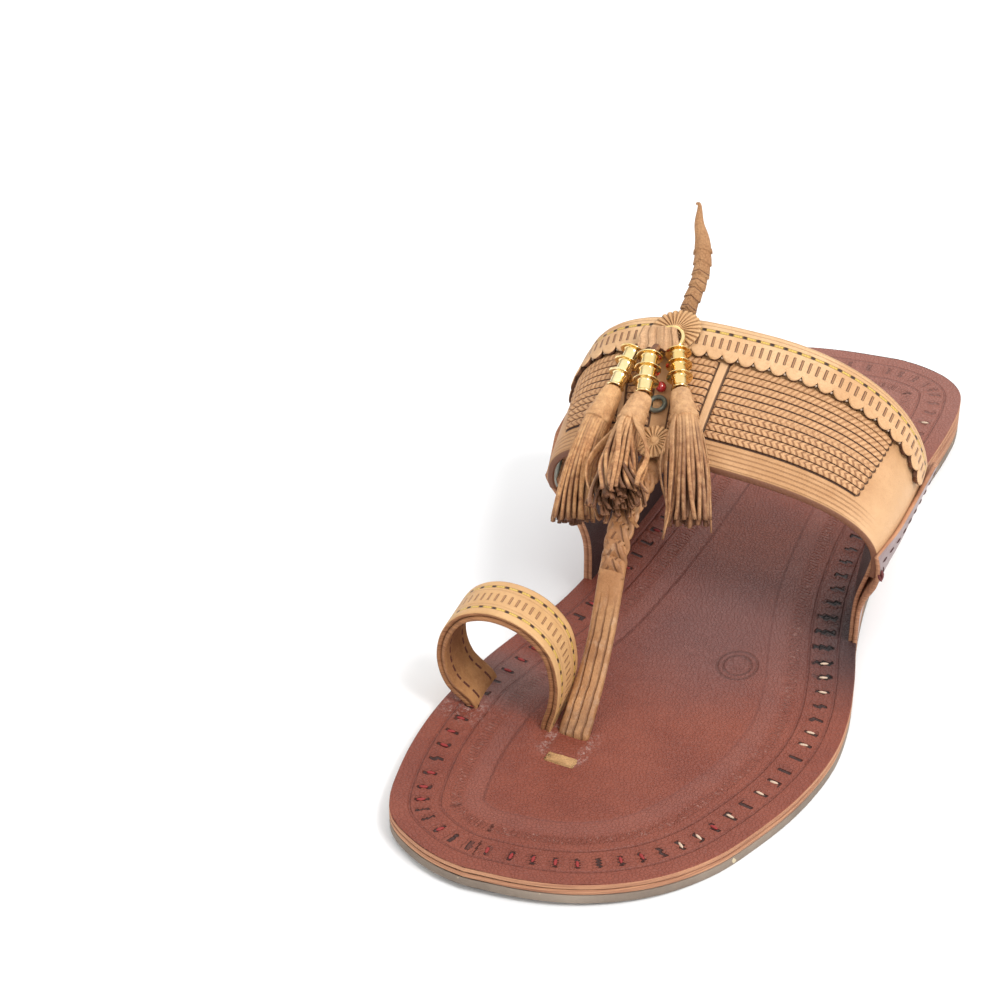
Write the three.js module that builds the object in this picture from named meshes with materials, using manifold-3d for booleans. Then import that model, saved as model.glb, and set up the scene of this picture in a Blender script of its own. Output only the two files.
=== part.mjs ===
// A left kolhapuri sandal: leather sole, side flaps, braided instep band with a thong, toe loop and tassels.
// Millimetres, +Z up, toe towards -Y, little toe towards +X.
import * as THREE from 'three';
import { mergeVertices } from 'three/addons/utils/BufferGeometryUtils.js';
import Module from 'manifold-3d';

const wasm = await Module();
wasm.setup();

// Driving sizes of the foot and of the sole
const footLength = 282;
const ballWidth = 106;
const rubberThick = 2.7;
const midsoleThick = 1.5;
const insoleThick = 1.6;
const heelLiftHeight = 5.4;
const liftTipThick = 0.6;
const toeSpring = 2.0;
const archRise = 1.2;
const seam = 0.3;

// Instep band
const bandWidth = 42;
const bandFrontRise = 52.6;
const bandBackRise = 72.3;
const bandHalfSpan = 51;
const bandWall = 2.2;
const bandCrown = 1.0;
const braidHeight = 0.8;
const braidRows = 10;
const stripThick = 0.9;
const scallopPitch = 5.6;
const scallopDepth = 1.5;

// Side flaps
const flapLength = 60;
const flapHeight = 39.5;
const flapWall = 3.2;
const flapLeaf = 1.1;
const tuckDepth = 9;

// Thong, toe loop and tab
const thongWidth = 8;
const thongThick = 3;
const loopWidth = 15.6;
const loopWall = 3;
const loopSpan = 36;
const loopRise = 34;
const tabWidth = 9.4;
const tabLength = 4.4;

// Trimmings
const rosetteTopRadius = 7.8;
const rosetteLowRadius = 5.3;
const rosetteThick = 2;
const hornLength = 42;
const hornHalfWidth = 2.8;
const ringRadius = 4.4;
const ringWire = 0.6;
const apronWidth = 13;
const apronThick = 2.4;
const capLength = 13;
const capFlange = 3.8;
const capBore = 1.5;
const tasselHead = 3.6;
const tasselFlare = 6.4;
const eyeletRadius = 2.3;
const beadRadius = 1.6;

// Colours, roughness and metalness of the materials
const finishes = {
  rubber: { color: 0x6b5c51, roughness: 0.9, metalness: 0 },
  paleLeather: { color: 0xc98f62, roughness: 0.75, metalness: 0 },
  brownLeather: { color: 0x7d3f33, roughness: 0.5, metalness: 0 },
  flapLeather: { color: 0x6d4340, roughness: 0.55, metalness: 0 },
  tanLeather: { color: 0xc8935b, roughness: 0.6, metalness: 0 },
  brass: { color: 0xe0b04a, roughness: 0.25, metalness: 1 },
  glass: { color: 0xa3182b, roughness: 0.2, metalness: 0 },
};

const sandal = new THREE.Group();

function addPiece(name, geometry, finish) {
  const mesh = new THREE.Mesh(geometry, new THREE.MeshStandardMaterial(finishes[finish]));
  mesh.name = name;
  sandal.add(mesh);
  return mesh;
}

// Small numeric helpers
function mix(a, b, t) {
  return a + (b - a) * t;
}

function clamp01(t) {
  return Math.min(Math.max(t, 0), 1);
}

function smooth(t) {
  const s = clamp01(t);
  return s * s * (3 - 2 * s);
}

function point(x, y, z) {
  return new THREE.Vector3(x, y, z);
}

// Closed solid from rings of equal count: sides between rings and a fan at each end
function loft(rings) {
  const sides = rings[0].length;
  const corners = rings.flat();
  const faces = [];
  for (let i = 0; i + 1 < rings.length; i += 1) {
    for (let j = 0; j < sides; j += 1) {
      const a = i * sides + j;
      const b = i * sides + (j + 1) % sides;
      faces.push([a, b, b + sides], [a, b + sides, a + sides]);
    }
  }
  const ends = [[rings[0], 0, true], [rings[rings.length - 1], (rings.length - 1) * sides, false]];
  for (const [ring, start, isFirst] of ends) {
    const middle = corners.length;
    const centre = ring.reduce((sum, corner) => sum.add(corner), point(0, 0, 0)).divideScalar(sides);
    corners.push(centre);
    for (let j = 0; j < sides; j += 1) {
      const a = start + j;
      const b = start + (j + 1) % sides;
      faces.push(isFirst ? [middle, b, a] : [middle, a, b]);
    }
  }
  return outward(corners, faces);
}

// Closed sheet between two grids of rows with equal counts, the second on the back of the first
function slab(front, back) {
  const rows = front.length;
  const columns = front[0].length;
  const corners = [...front.flat(), ...back.flat()];
  const behind = rows * columns;
  const faces = [];
  const quad = (a, b, c, d) => faces.push([a, b, c], [a, c, d]);
  for (let i = 0; i + 1 < rows; i += 1) {
    for (let j = 0; j + 1 < columns; j += 1) {
      const a = i * columns + j;
      quad(a, a + 1, a + columns + 1, a + columns);
      quad(behind + a + columns, behind + a + columns + 1, behind + a + 1, behind + a);
    }
  }
  for (let j = 0; j + 1 < columns; j += 1) {
    const last = (rows - 1) * columns + j;
    quad(j + 1, j, behind + j, behind + j + 1);
    quad(last, last + 1, behind + last + 1, behind + last);
  }
  for (let i = 0; i + 1 < rows; i += 1) {
    const left = i * columns;
    const right = left + columns - 1;
    quad(left, left + columns, behind + left + columns, behind + left);
    quad(right + columns, right, behind + right, behind + right + columns);
  }
  return outward(corners, faces);
}

// Indexed geometry whose faces point out, whatever way round they were listed
function outward(corners, faces) {
  let volume = 0;
  for (const [a, b, c] of faces) {
    volume += corners[a].dot(corners[b].clone().cross(corners[c]));
  }
  const order = volume > 0 ? faces : faces.map(([a, b, c]) => [a, c, b]);
  const geometry = new THREE.BufferGeometry().setFromPoints(corners);
  geometry.setIndex(order.flat());
  return geometry;
}

// Joins and cuts
function toSolid(geometry) {
  const plain = geometry.clone();
  plain.deleteAttribute('normal');
  plain.deleteAttribute('uv');
  const merged = mergeVertices(plain, 1e-4);
  const vertProperties = new Float32Array(merged.attributes.position.array);
  const triVerts = new Uint32Array(merged.index.array);
  return new wasm.Manifold(new wasm.Mesh({ numProp: 3, vertProperties, triVerts }));
}

function toGeometry(solid) {
  const mesh = solid.getMesh();
  const geometry = new THREE.BufferGeometry();
  geometry.setAttribute('position', new THREE.BufferAttribute(new Float32Array(mesh.vertProperties), 3));
  geometry.setIndex(new THREE.BufferAttribute(new Uint32Array(mesh.triVerts), 1));
  return geometry;
}

function join(...geometries) {
  return toGeometry(geometries.map(toSolid).reduce((sum, solid) => sum.add(solid)));
}

function cut(geometry, ...tools) {
  return toGeometry(tools.map(toSolid).reduce((rest, tool) => rest.subtract(tool), toSolid(geometry)));
}

// Sole outline, each side from the toe to the heel: along is a share of the foot's length from the toe,
// out is a share of half the ball's width from the centre line, positive towards the little toe.
const toeTip = { along: 0, out: -0.26 };
const heelTip = { along: 1, out: 0.09 };
const lateralRows = [
  { along: 0.01, out: 0.036 },
  { along: 0.025, out: 0.257 },
  { along: 0.048, out: 0.455 },
  { along: 0.079, out: 0.632 },
  { along: 0.122, out: 0.787 },
  { along: 0.168, out: 0.888 },
  { along: 0.234, out: 0.99 },
  { along: 0.307, out: 1.033 },
  { along: 0.364, out: 1.0 },
  { along: 0.419, out: 0.925 },
  { along: 0.48, out: 0.82 },
  { along: 0.56, out: 0.72 },
  { along: 0.66, out: 0.65 },
  { along: 0.77, out: 0.622 },
  { along: 0.87, out: 0.63 },
  { along: 0.925, out: 0.612 },
  { along: 0.962, out: 0.555 },
  { along: 0.984, out: 0.44 },
  { along: 0.997, out: 0.25 },
];
const medialRows = [
  { along: 0.002, out: -0.4 },
  { along: 0.011, out: -0.56 },
  { along: 0.033, out: -0.75 },
  { along: 0.06, out: -0.84 },
  { along: 0.1, out: -0.905 },
  { along: 0.15, out: -0.953 },
  { along: 0.212, out: -0.968 },
  { along: 0.287, out: -0.93 },
  { along: 0.345, out: -0.868 },
  { along: 0.41, out: -0.785 },
  { along: 0.48, out: -0.748 },
  { along: 0.58, out: -0.722 },
  { along: 0.7, out: -0.728 },
  { along: 0.8, out: -0.75 },
  { along: 0.88, out: -0.757 },
  { along: 0.93, out: -0.725 },
  { along: 0.958, out: -0.655 },
  { along: 0.974, out: -0.53 },
  { along: 0.988, out: -0.3 },
];
const toeY = -footLength / 2;
const halfBall = ballWidth / 2;
const sideSamples = 38;

function alongToY(along) {
  return toeY + along * footLength;
}

function outlineSide(rows) {
  const stops = [toeTip, ...rows, heelTip].map((row) => point(row.out * halfBall, alongToY(row.along), 0));
  return new THREE.CatmullRomCurve3(stops, false, 'centripetal').getSpacedPoints(sideSamples);
}

const lateralEdge = outlineSide(lateralRows);
const medialEdge = outlineSide(medialRows);

function edgeX(side, y) {
  const edge = side > 0 ? lateralEdge : medialEdge;
  const next = Math.max(edge.findIndex((corner) => corner.y >= y), 1);
  const a = edge[next - 1];
  const b = edge[next];
  return mix(a.x, b.x, clamp01((y - a.y) / (b.y - a.y)));
}

// Heights of the sole's layers along its length
const springStart = alongToY(0.16);
const archStart = alongToY(0.36);
const archEnd = alongToY(0.76);
const liftStart = alongToY(0.565);
const liftFull = alongToY(0.92);

function rubberBottom(y) {
  const spring = toeSpring * clamp01((springStart - y) / (springStart - toeY)) ** 2;
  const arch = archRise * Math.sin(Math.PI * clamp01((y - archStart) / (archEnd - archStart))) ** 2;
  return spring + arch;
}

function rubberTop(y) {
  return rubberBottom(y) + rubberThick;
}

function liftBottom(y) {
  return rubberTop(y) + seam;
}

function liftTop(y) {
  return liftBottom(y) + mix(liftTipThick, heelLiftHeight, clamp01((y - liftStart) / (liftFull - liftStart)));
}

const rampLength = footLength * 0.08;

function midsoleBottom(y) {
  const overLift = liftTop(Math.max(y, liftStart)) + seam - rubberTop(Math.max(y, liftStart));
  const ramp = smooth((y - liftStart + rampLength) / rampLength);
  return rubberTop(y) + mix(seam, overLift, ramp);
}

function midsoleTop(y) {
  return midsoleBottom(y) + midsoleThick;
}

function insoleBottom(y) {
  return midsoleTop(y) + seam;
}

function insoleTop(y) {
  return insoleBottom(y) + insoleThick;
}

// Sheet of the sole between two heights, over the stretch of the outline behind a given start
const tipShare = 0.04;

function soleSheet(lowAt, highAt, startY = -Infinity) {
  const rings = [];
  lateralEdge.forEach((lateral, i) => {
    const medial = medialEdge[i];
    if (Math.min(lateral.y, medial.y) < startY) {
      return;
    }
    const isTip = i === 0 || i === sideSamples;
    const near = isTip ? (i === 0 ? 1 : sideSamples - 1) : i;
    const share = isTip ? tipShare : 1;
    const right = lateral.clone().lerp(lateralEdge[near], share);
    const left = medial.clone().lerp(medialEdge[near], share);
    rings.push([
      point(right.x, right.y, lowAt(right.y)),
      point(left.x, left.y, lowAt(left.y)),
      point(left.x, left.y, highAt(left.y)),
      point(right.x, right.y, highAt(right.y)),
    ]);
  });
  return loft(rings);
}

// The last over the instep: half widths, heights and fullness at the band's front and back edges.
// full is the exponent of the arch, higher being squarer.
const bandFrontY = alongToY(0.45);
const soleLevel = insoleTop(bandFrontY);
const lastRows = {
  front: { centre: -0.015, lateral: 0.99, medial: 1.0, wideAt: 0.64, lateralFull: 2.6, medialFull: 2.5 },
  back: { centre: -0.07, lateral: 1.01, medial: 1.06, wideAt: 0.54, lateralFull: 2.2, medialFull: 2.8 },
};
const bandRise = { front: bandFrontRise, back: bandBackRise };

function lastAt(y) {
  const t = (y - bandFrontY) / bandWidth;
  const share = (name) => mix(lastRows.front[name], lastRows.back[name], t);
  const rise = mix(bandRise.front, bandRise.back, t);
  return {
    centre: share('centre') * bandHalfSpan,
    lateral: share('lateral') * bandHalfSpan,
    medial: share('medial') * bandHalfSpan,
    wideZ: soleLevel + share('wideAt') * rise,
    top: rise * (1 - share('wideAt')),
    lateralFull: share('lateralFull'),
    medialFull: share('medialFull'),
  };
}

function crownAt(w) {
  return bandCrown * (1 - (2 * clamp01(w) - 1) ** 2);
}

// Point of the band's surface above a place of the sole, raised by a lift
function bandSpot(x, y, lift) {
  const last = lastAt(y);
  const raise = lift + crownAt((y - bandFrontY) / bandWidth);
  const isLateral = x > last.centre;
  const half = (isLateral ? last.lateral : last.medial) + raise;
  const full = isLateral ? last.lateralFull : last.medialFull;
  const share = Math.min(Math.abs(x - last.centre) / half, 1);
  return point(x, y, last.wideZ + (last.top + raise) * (1 - share ** full) ** (1 / full));
}

// Point of the arch: side from -1 at the medial side to 1 at the lateral side, w across the band's width
function archPoint(side, w, lift) {
  const y = bandFrontY + w * bandWidth;
  const last = lastAt(y);
  const half = (side > 0 ? last.lateral : last.medial) + lift + crownAt(w);
  return bandSpot(last.centre + side * half, y, lift);
}

// Side wall of the last: straight up from the sole's edge at first, then out to the widest level
const wallSteepness = 3.2;

function wallX(side, y, z, lift) {
  const last = lastAt(y);
  const widest = last.centre + side * (side > 0 ? last.lateral : last.medial);
  const foot = edgeX(side, y);
  const share = clamp01((z - midsoleTop(y)) / (last.wideZ - midsoleTop(y)));
  if (z <= last.wideZ) {
    return mix(foot, widest, smooth(share) ** wallSteepness) + side * lift;
  }
  const full = side > 0 ? last.lateralFull : last.medialFull;
  const up = Math.min((z - last.wideZ) / (last.top + lift), 1);
  const half = (side > 0 ? last.lateral : last.medial) + lift;
  return last.centre + side * half * (1 - up ** full) ** (1 / full);
}

// Section of the band at one place across its width, from the lateral foot over to the medial foot
const flapTop = soleLevel + flapHeight;
const bandFootZ = flapTop - tuckDepth;
const archSteps = 120;
const footSteps = 6;

function archSection(w, lift, extra) {
  const y = bandFrontY + w * bandWidth;
  const last = lastAt(y);
  const line = [];
  const wall = (side, k) => {
    const z = mix(bandFootZ - extra, last.wideZ, k / footSteps);
    return point(wallX(side, y, z, lift + crownAt(w)), y, z);
  };
  for (let k = 0; k < footSteps; k += 1) {
    line.push(wall(1, k));
  }
  for (let k = 0; k <= archSteps; k += 1) {
    const turn = Math.cos(Math.PI * k / archSteps);
    line.push(archPoint(Math.sign(turn) * Math.abs(turn) ** 0.8, w, lift));
  }
  for (let k = footSteps - 1; k >= 0; k -= 1) {
    line.push(wall(-1, k));
  }
  return line;
}

// Points of a line at given shares of its length
function spread(line, shares) {
  const reach = [0];
  for (let i = 1; i < line.length; i += 1) {
    reach.push(reach[i - 1] + line[i].distanceTo(line[i - 1]));
  }
  const whole = reach[reach.length - 1];
  return shares.map((share) => {
    const want = share * whole;
    const next = Math.max(reach.findIndex((length) => length >= want - 1e-9), 1);
    return line[next - 1].clone().lerp(line[next], (want - reach[next - 1]) / (reach[next] - reach[next - 1]));
  });
}

// Zones along the arch, from the lateral foot: to is a share of the arch's length, steps its columns,
// rise what the zone adds to the wall, as a share of the braid's height on the braid rows or on all of them.
const archZones = [
  { to: 0.185, steps: 8, braid: 0, plate: 0 },
  { to: 0.53, steps: 12, braid: 1, plate: 0 },
  { to: 0.55, steps: 1, braid: 0, plate: 0.6 },
  { to: 0.62, steps: 2, braid: 0.7, plate: 0 },
  { to: 0.665, steps: 2, braid: 0, plate: 0 },
  { to: 0.72, steps: 2, braid: 0.7, plate: 0 },
  { to: 0.74, steps: 1, braid: 0, plate: 0.6 },
  { to: 0.87, steps: 6, braid: 1, plate: 0 },
  { to: 1, steps: 5, braid: 0, plate: 0 },
];
const zoneEdge = 0.003;

function archColumns() {
  const columns = [];
  let from = 0;
  for (const zone of archZones) {
    const low = from + (from > 0 ? zoneEdge : 0);
    const high = zone.to - (zone.to < 1 ? zoneEdge : 0);
    for (let k = 0; k <= zone.steps; k += 1) {
      columns.push({ share: mix(low, high, k / zone.steps), braid: zone.braid, plate: zone.plate });
    }
    from = zone.to;
  }
  return columns;
}

// Rows across the band from its front edge: braid is 1 on a strip's crest, plate 1 between the panel's edges
const panelFront = 0.2;
const panelBack = 0.64;

function bandRows() {
  const rows = [{ w: 0, braid: 0, plate: 0 }, { w: 0.1, braid: 0, plate: 0 }];
  const pitch = (panelBack - panelFront) / braidRows;
  for (let k = 0; k < braidRows; k += 1) {
    rows.push({ w: panelFront + k * pitch, braid: 0, plate: k > 0 ? 1 : 0 });
    rows.push({ w: panelFront + (k + 0.5) * pitch, braid: 1, plate: 1 });
  }
  rows.push({ w: panelBack, braid: 0, plate: 0 });
  rows.push({ w: 0.82, braid: 0, plate: 0 }, { w: 1, braid: 0, plate: 0 });
  return rows;
}

function bandWallSolid() {
  const columns = archColumns();
  const shares = columns.map((column) => column.share);
  const rows = bandRows();
  const outer = rows.map((row) => ({ row, base: spread(archSection(row.w, 0, 0), shares),
    raised: spread(archSection(row.w, braidHeight, 0), shares) }));
  const innerRows = [1, 0.5, 0];
  const inner = innerRows.map((w) => spread(archSection(w, -bandWall, 0), shares));
  const rings = columns.map((column, i) => {
    const top = outer.map(({ row, base, raised }) => {
      const rise = Math.max(column.braid * row.braid, column.plate * row.plate);
      return base[i].clone().lerp(raised[i], rise);
    });
    return [...top, ...inner.map((line) => line[i])];
  });
  return loft(rings);
}

// Room that one end of the band takes in its flap, with a clearance on every side
function bandRoom(side, clearance) {
  const steps = 5;
  const deep = 0.13;
  const shares = Array.from({ length: steps + 1 }, (_, k) => (side > 0 ? k / steps * deep : 1 - k / steps * deep));
  const overrun = clearance / bandWidth;
  const widths = [-overrun, 0.1, 0.2, 0.32, 0.44, 0.56, 0.68, 0.82, 1 + overrun];
  const outer = widths.map((w) => spread(archSection(w, clearance, clearance), shares));
  const inner = [1 + overrun, 0.5, -overrun]
    .map((w) => spread(archSection(w, -bandWall - clearance, clearance), shares));
  return loft(shares.map((_, i) => [...outer, ...inner].map((line) => line[i])));
}

// Side flap: rows from the sole up, with its front and rear ends as shares of the flap's length
const flapRows = [
  { up: 0, lean: 0, rear: 1 },
  { up: 0.15, lean: 0.01, rear: 1 },
  { up: 0.35, lean: 0.022, rear: 0.985 },
  { up: 0.55, lean: 0.037, rear: 0.95 },
  { up: 0.72, lean: 0.05, rear: 0.9 },
  { up: 0.86, lean: 0.055, rear: 0.84 },
  { up: 0.95, lean: 0.05, rear: 0.77 },
  { up: 1, lean: 0.035, rear: 0.68 },
];
const flapFronts = { lateral: { y: alongToY(0.479), lean: 1 }, medial: { y: alongToY(0.457), lean: 0 } };
const flapRearY = alongToY(0.684);
const flapColumns = 12;
const leafSplit = { from: 0.45, to: 0.85 };

function flapSolid(side) {
  const front = side > 0 ? flapFronts.lateral : flapFronts.medial;
  const leaf = (row, lift) => {
    const line = [];
    const frontY = front.y - front.lean * row.lean * flapLength;
    const rearY = flapRearY - (1 - row.rear) * flapLength;
    for (let k = 0; k <= flapColumns; k += 1) {
      const y = mix(frontY, rearY, k / flapColumns);
      const z = mix(midsoleTop(y) + seam, flapTop, row.up);
      line.push(point(wallX(side, y, z, lift), y, z));
    }
    return line;
  };
  const openOut = seam + flapLeaf + bandCrown;
  const openIn = -(bandWall + seam + flapLeaf);
  const spreadAt = (row) => smooth((row.up - leafSplit.from) / (leafSplit.to - leafSplit.from));
  const outerLeaf = flapRows.map((row) => leaf(row, openOut * spreadAt(row)));
  const innerLeaf = flapRows.map((row) => leaf(row, mix(-flapWall, openIn, spreadAt(row))));
  return slab(outerLeaf, innerLeaf);
}

// Strap swept up along a line from a level foot: section points are across (X) and off (away from the line)
function sweepStrap(line, sectionAt) {
  const rings = line.map((centre, i) => {
    const before = line[Math.max(i - 1, 0)];
    const after = line[Math.min(i + 1, line.length - 1)];
    const run = i > 0 ? after.clone().sub(before).normalize() : point(0, 0, 1);
    const across = point(1, 0, 0).addScaledVector(run, -run.x).normalize();
    const off = across.clone().cross(run).normalize();
    return sectionAt(i / (line.length - 1)).map(([u, v]) => (
      centre.clone().addScaledVector(across, u).addScaledVector(off, v)));
  });
  return loft(rings);
}

// Thong: side is a share of half the ball's width, along a share of the foot's length, up a height above the
// top sheet as a share of the band's front rise
const thongRows = [
  { side: -0.226, along: 0.2225, up: -0.036 },
  { side: -0.226, along: 0.2228, up: 0.005 },
  { side: -0.23, along: 0.236, up: 0.077 },
  { side: -0.24, along: 0.262, up: 0.19 },
  { side: -0.25, along: 0.288, up: 0.354 },
  { side: -0.26, along: 0.307, up: 0.539 },
  { side: -0.27, along: 0.323, up: 0.708 },
  { side: -0.28, along: 0.34, up: 0.862 },
  { side: -0.293, along: 0.364, up: 0.925 },
  { side: -0.31, along: 0.398, up: 0.945 },
  { side: -0.325, along: 0.432, up: 0.955 },
];
const thongSteps = 30;
const braidFrom = 0.42;
const braidTurns = 4.5;
const thongSides = 10;

function thongLine() {
  const stops = thongRows.map((row) => {
    const y = alongToY(row.along);
    return point(row.side * halfBall, y, insoleTop(y) + row.up * bandFrontRise);
  });
  stops[0].z = midsoleTop(stops[0].y) + seam;
  const landing = bandSpot(stops[stops.length - 1].x, bandFrontY + bandWidth * 0.1, thongThick * 0.25);
  stops.push(landing);
  return new THREE.CatmullRomCurve3(stops, false, 'centripetal').getSpacedPoints(thongSteps);
}

function thongSection(t) {
  const braided = smooth((t - braidFrom) / 0.12);
  const halfWide = thongWidth / 2 * mix(1, 1.12, braided);
  const halfThick = thongThick / 2 * mix(1, 1.35, braided);
  const twist = Math.sin(2 * Math.PI * braidTurns * (t - braidFrom) / (1 - braidFrom));
  return Array.from({ length: thongSides }, (_, k) => {
    const turn = 2 * Math.PI * (k + 0.5) / thongSides;
    const u = Math.sign(Math.cos(turn)) * Math.abs(Math.cos(turn)) ** 0.5;
    const v = Math.sign(Math.sin(turn)) * Math.abs(Math.sin(turn)) ** 0.6;
    const lobe = 1 + 0.12 * braided * twist * Math.sign(u);
    return [u * halfWide * (v > 0 ? lobe : 1), v * halfThick * lobe];
  });
}

function thongSolid() {
  return sweepStrap(thongLine(), thongSection);
}

// Toe loop around the big toe's axis, which runs front to back: side and up are shares of its span and rise
const loopCentreX = -0.645 * halfBall;
const loopFrontY = alongToY(0.2138);
const loopRows = [
  { side: -0.2, up: -0.09 },
  { side: -0.235, up: 0.02 },
  { side: -0.42, up: 0.18 },
  { side: -0.49, up: 0.4 },
  { side: -0.45, up: 0.66 },
  { side: -0.31, up: 0.87 },
  { side: -0.08, up: 0.97 },
  { side: 0.2, up: 0.93 },
  { side: 0.395, up: 0.76 },
  { side: 0.465, up: 0.5 },
  { side: 0.455, up: 0.25 },
  { side: 0.405, up: 0.04 },
  { side: 0.395, up: -0.09 },
];
const loopSteps = 24;
const plyGroove = 0.5;
const plySlit = 0.5;
const loopSkew = -0.09;

function loopLine() {
  const base = insoleTop(loopFrontY);
  const stops = loopRows.map((row) => point(loopCentreX + row.side * loopSpan, loopFrontY, base + row.up * loopRise));
  const footZ = midsoleTop(loopFrontY) + seam;
  stops[0].z = footZ;
  stops[stops.length - 1].z = footZ;
  return new THREE.CatmullRomCurve3(stops, false, 'centripetal').getSpacedPoints(loopSteps);
}

function loopRings(line, section) {
  const last = line.length - 1;
  return line.map((centre, i) => {
    const run = line[Math.min(i + 1, last)].clone().sub(line[Math.max(i - 1, 0)]).normalize();
    if (i === 0 || i === last) {
      run.set(0, 0, i === 0 ? 1 : -1);
    }
    const off = point(-run.z, 0, run.x);
    return section.map(([u, v]) => centre.clone().addScaledVector(off, u).add(point(v * loopSkew, v, 0)));
  });
}

// The loop is two plies, with a slit between them along its front and rear edges
function loopSolid() {
  const half = loopWall / 2;
  const slit = plySlit / 2;
  const rear = loopWidth;
  return loft(loopRings(loopLine(), [
    [half, 0], [slit, 0], [slit, plyGroove], [-slit, plyGroove], [-slit, 0], [-half, 0],
    [-half, rear], [-slit, rear], [-slit, rear - plyGroove], [slit, rear - plyGroove], [slit, rear], [half, rear],
  ]));
}

// Room that the loop's two feet take in the insole
function loopRoom() {
  const line = loopLine();
  const below = (centre) => centre.clone().setZ(centre.z - insoleThick);
  const half = loopWall / 2 + seam;
  const rear = loopWidth + seam;
  return loft(loopRings([below(line[0]), ...line, below(line[loopSteps])],
    [[half, -seam], [-half, -seam], [-half, rear], [half, rear]]));
}

// Upright box from its centre and full sizes
function boxAt(centre, wide, long, high) {
  return new THREE.BoxGeometry(wide, long, high).translate(centre.x, centre.y, centre.z);
}

const tabCentre = point(-0.2 * halfBall, alongToY(0.1815), 0);
const thongFoot = point(thongRows[0].side * halfBall, alongToY(thongRows[0].along), 0);

// The thong already leans back a little where it leaves the insole
const thongLean = 0.8;

function insoleSolid(flaps) {
  const sheet = soleSheet(insoleBottom, insoleTop);
  const deep = insoleThick * 4;
  const thongSlot = boxAt(thongFoot.clone().setZ(insoleTop(thongFoot.y)), thongWidth + 2 * seam,
    thongThick + thongLean + 2 * seam, deep).translate(0, thongLean / 2, 0);
  const tabSlot = boxAt(tabCentre.clone().setZ(insoleTop(tabCentre.y)), tabWidth + 2 * seam,
    tabLength + 2 * seam, deep);
  return cut(sheet, thongSlot, tabSlot, loopRoom(), ...flaps);
}

// Room that a flap takes out of the insole's edge
function flapRoom(side) {
  const front = side > 0 ? flapFronts.lateral.y : flapFronts.medial.y;
  const ends = [front - seam, flapRearY + seam];
  const rings = Array.from({ length: 13 }, (_, k) => {
    const y = mix(ends[0], ends[1], k / 12);
    const inside = edgeX(side, y) - side * (flapWall + seam);
    const outside = inside + side * (flapWall + 4);
    const low = midsoleTop(y) - seam;
    const high = insoleTop(y) + insoleThick;
    return [point(inside, y, low), point(outside, y, low), point(outside, y, high), point(inside, y, high)];
  });
  return loft(rings);
}

function tabSolid() {
  const low = midsoleTop(tabCentre.y) + seam;
  const high = insoleTop(tabCentre.y) + 0.4;
  const rings = [
    { z: low, inset: 0 }, { z: high - 0.4, inset: 0 }, { z: high, inset: 0.4 },
  ].map(({ z, inset }) => {
    const x = tabWidth / 2 - inset;
    const y = tabLength / 2 - inset;
    return [[-x, -y], [x, -y], [x, y], [-x, y]].map(([dx, dy]) => point(tabCentre.x + dx, tabCentre.y + dy, z));
  });
  return loft(rings);
}

// Scalloped overlay along the back edge of the band
const stripFront = 0.73;
const stripBack = 0.985;
const stripEnds = { from: 0.135, to: 0.875 };

function stripSolid() {
  const middleLine = archSection(stripFront, 0, 0);
  let length = 0;
  middleLine.forEach((corner, i) => {
    length += i > 0 ? corner.distanceTo(middleLine[i - 1]) : 0;
  });
  const scallops = Math.round(length * (stripEnds.to - stripEnds.from) / scallopPitch);
  const stepsEach = 4;
  const count = scallops * stepsEach;
  const shares = Array.from({ length: count + 1 }, (_, k) => mix(stripEnds.from, stripEnds.to, k / count));
  const low = seam;
  const high = seam + stripThick;
  const line = (w, lift) => spread(archSection(w, lift, 0), shares);
  const bulge = scallopDepth / bandWidth;
  const frontLow = [line(stripFront, low), line(stripFront - bulge, low)];
  const frontHigh = [line(stripFront, high), line(stripFront - bulge, high)];
  const backLow = line(stripBack, low);
  const backHigh = line(stripBack, high);
  const rings = shares.map((_, i) => {
    const reach = Math.sin(Math.PI * (i % stepsEach) / stepsEach) ** 0.6;
    return [
      frontLow[0][i].clone().lerp(frontLow[1][i], reach),
      frontHigh[0][i].clone().lerp(frontHigh[1][i], reach),
      backHigh[i],
      backLow[i],
    ];
  });
  return loft(rings);
}

// Frame standing on the band: origin on its surface, up along the surface normal. Places on the band are given
// with side as a share of half the ball's width and along as a share of the foot's length.
function onBand(place) {
  return bandSpot(place.side * halfBall, alongToY(place.along), place.lift);
}

function bandFrame(place) {
  const small = 0.002;
  const shifted = (side, along) => onBand({ side: place.side + side, along: place.along + along, lift: place.lift });
  const along = shifted(small, 0).sub(shifted(-small, 0)).normalize();
  const back = shifted(0, small).sub(shifted(0, -small)).normalize();
  const up = along.clone().cross(back).normalize();
  return { origin: onBand(place), along, back: up.clone().cross(along).normalize(), up };
}

function placeOn(frame, x, y, z) {
  return frame.origin.clone().addScaledVector(frame.along, x).addScaledVector(frame.back, y)
    .addScaledVector(frame.up, z);
}

// Pleated disc with a button in its middle
function rosetteSolid(frame, radius, pleats) {
  const spokes = pleats * 2;
  const levels = [
    { share: 0.98, z: 0, pleat: 0 },
    { share: 1, z: 0.45, pleat: 0.25 },
    { share: 0.62, z: 0.8, pleat: 0.2 },
    { share: 0.28, z: 0.85, pleat: 0.05 },
    { share: 0.16, z: 1, pleat: 0 },
  ];
  const rings = levels.map((level) => Array.from({ length: spokes }, (_, k) => {
    const turn = 2 * Math.PI * k / spokes;
    const crest = k % 2 === 0 ? 1 : -1;
    const reach = radius * level.share * (1 + (level.pleat > 0.2 ? 0.035 * crest : 0));
    const z = rosetteThick * (level.z + level.pleat * 0.5 * crest);
    return placeOn(frame, reach * Math.cos(turn), reach * Math.sin(turn), z);
  }));
  return loft(rings);
}

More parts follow.
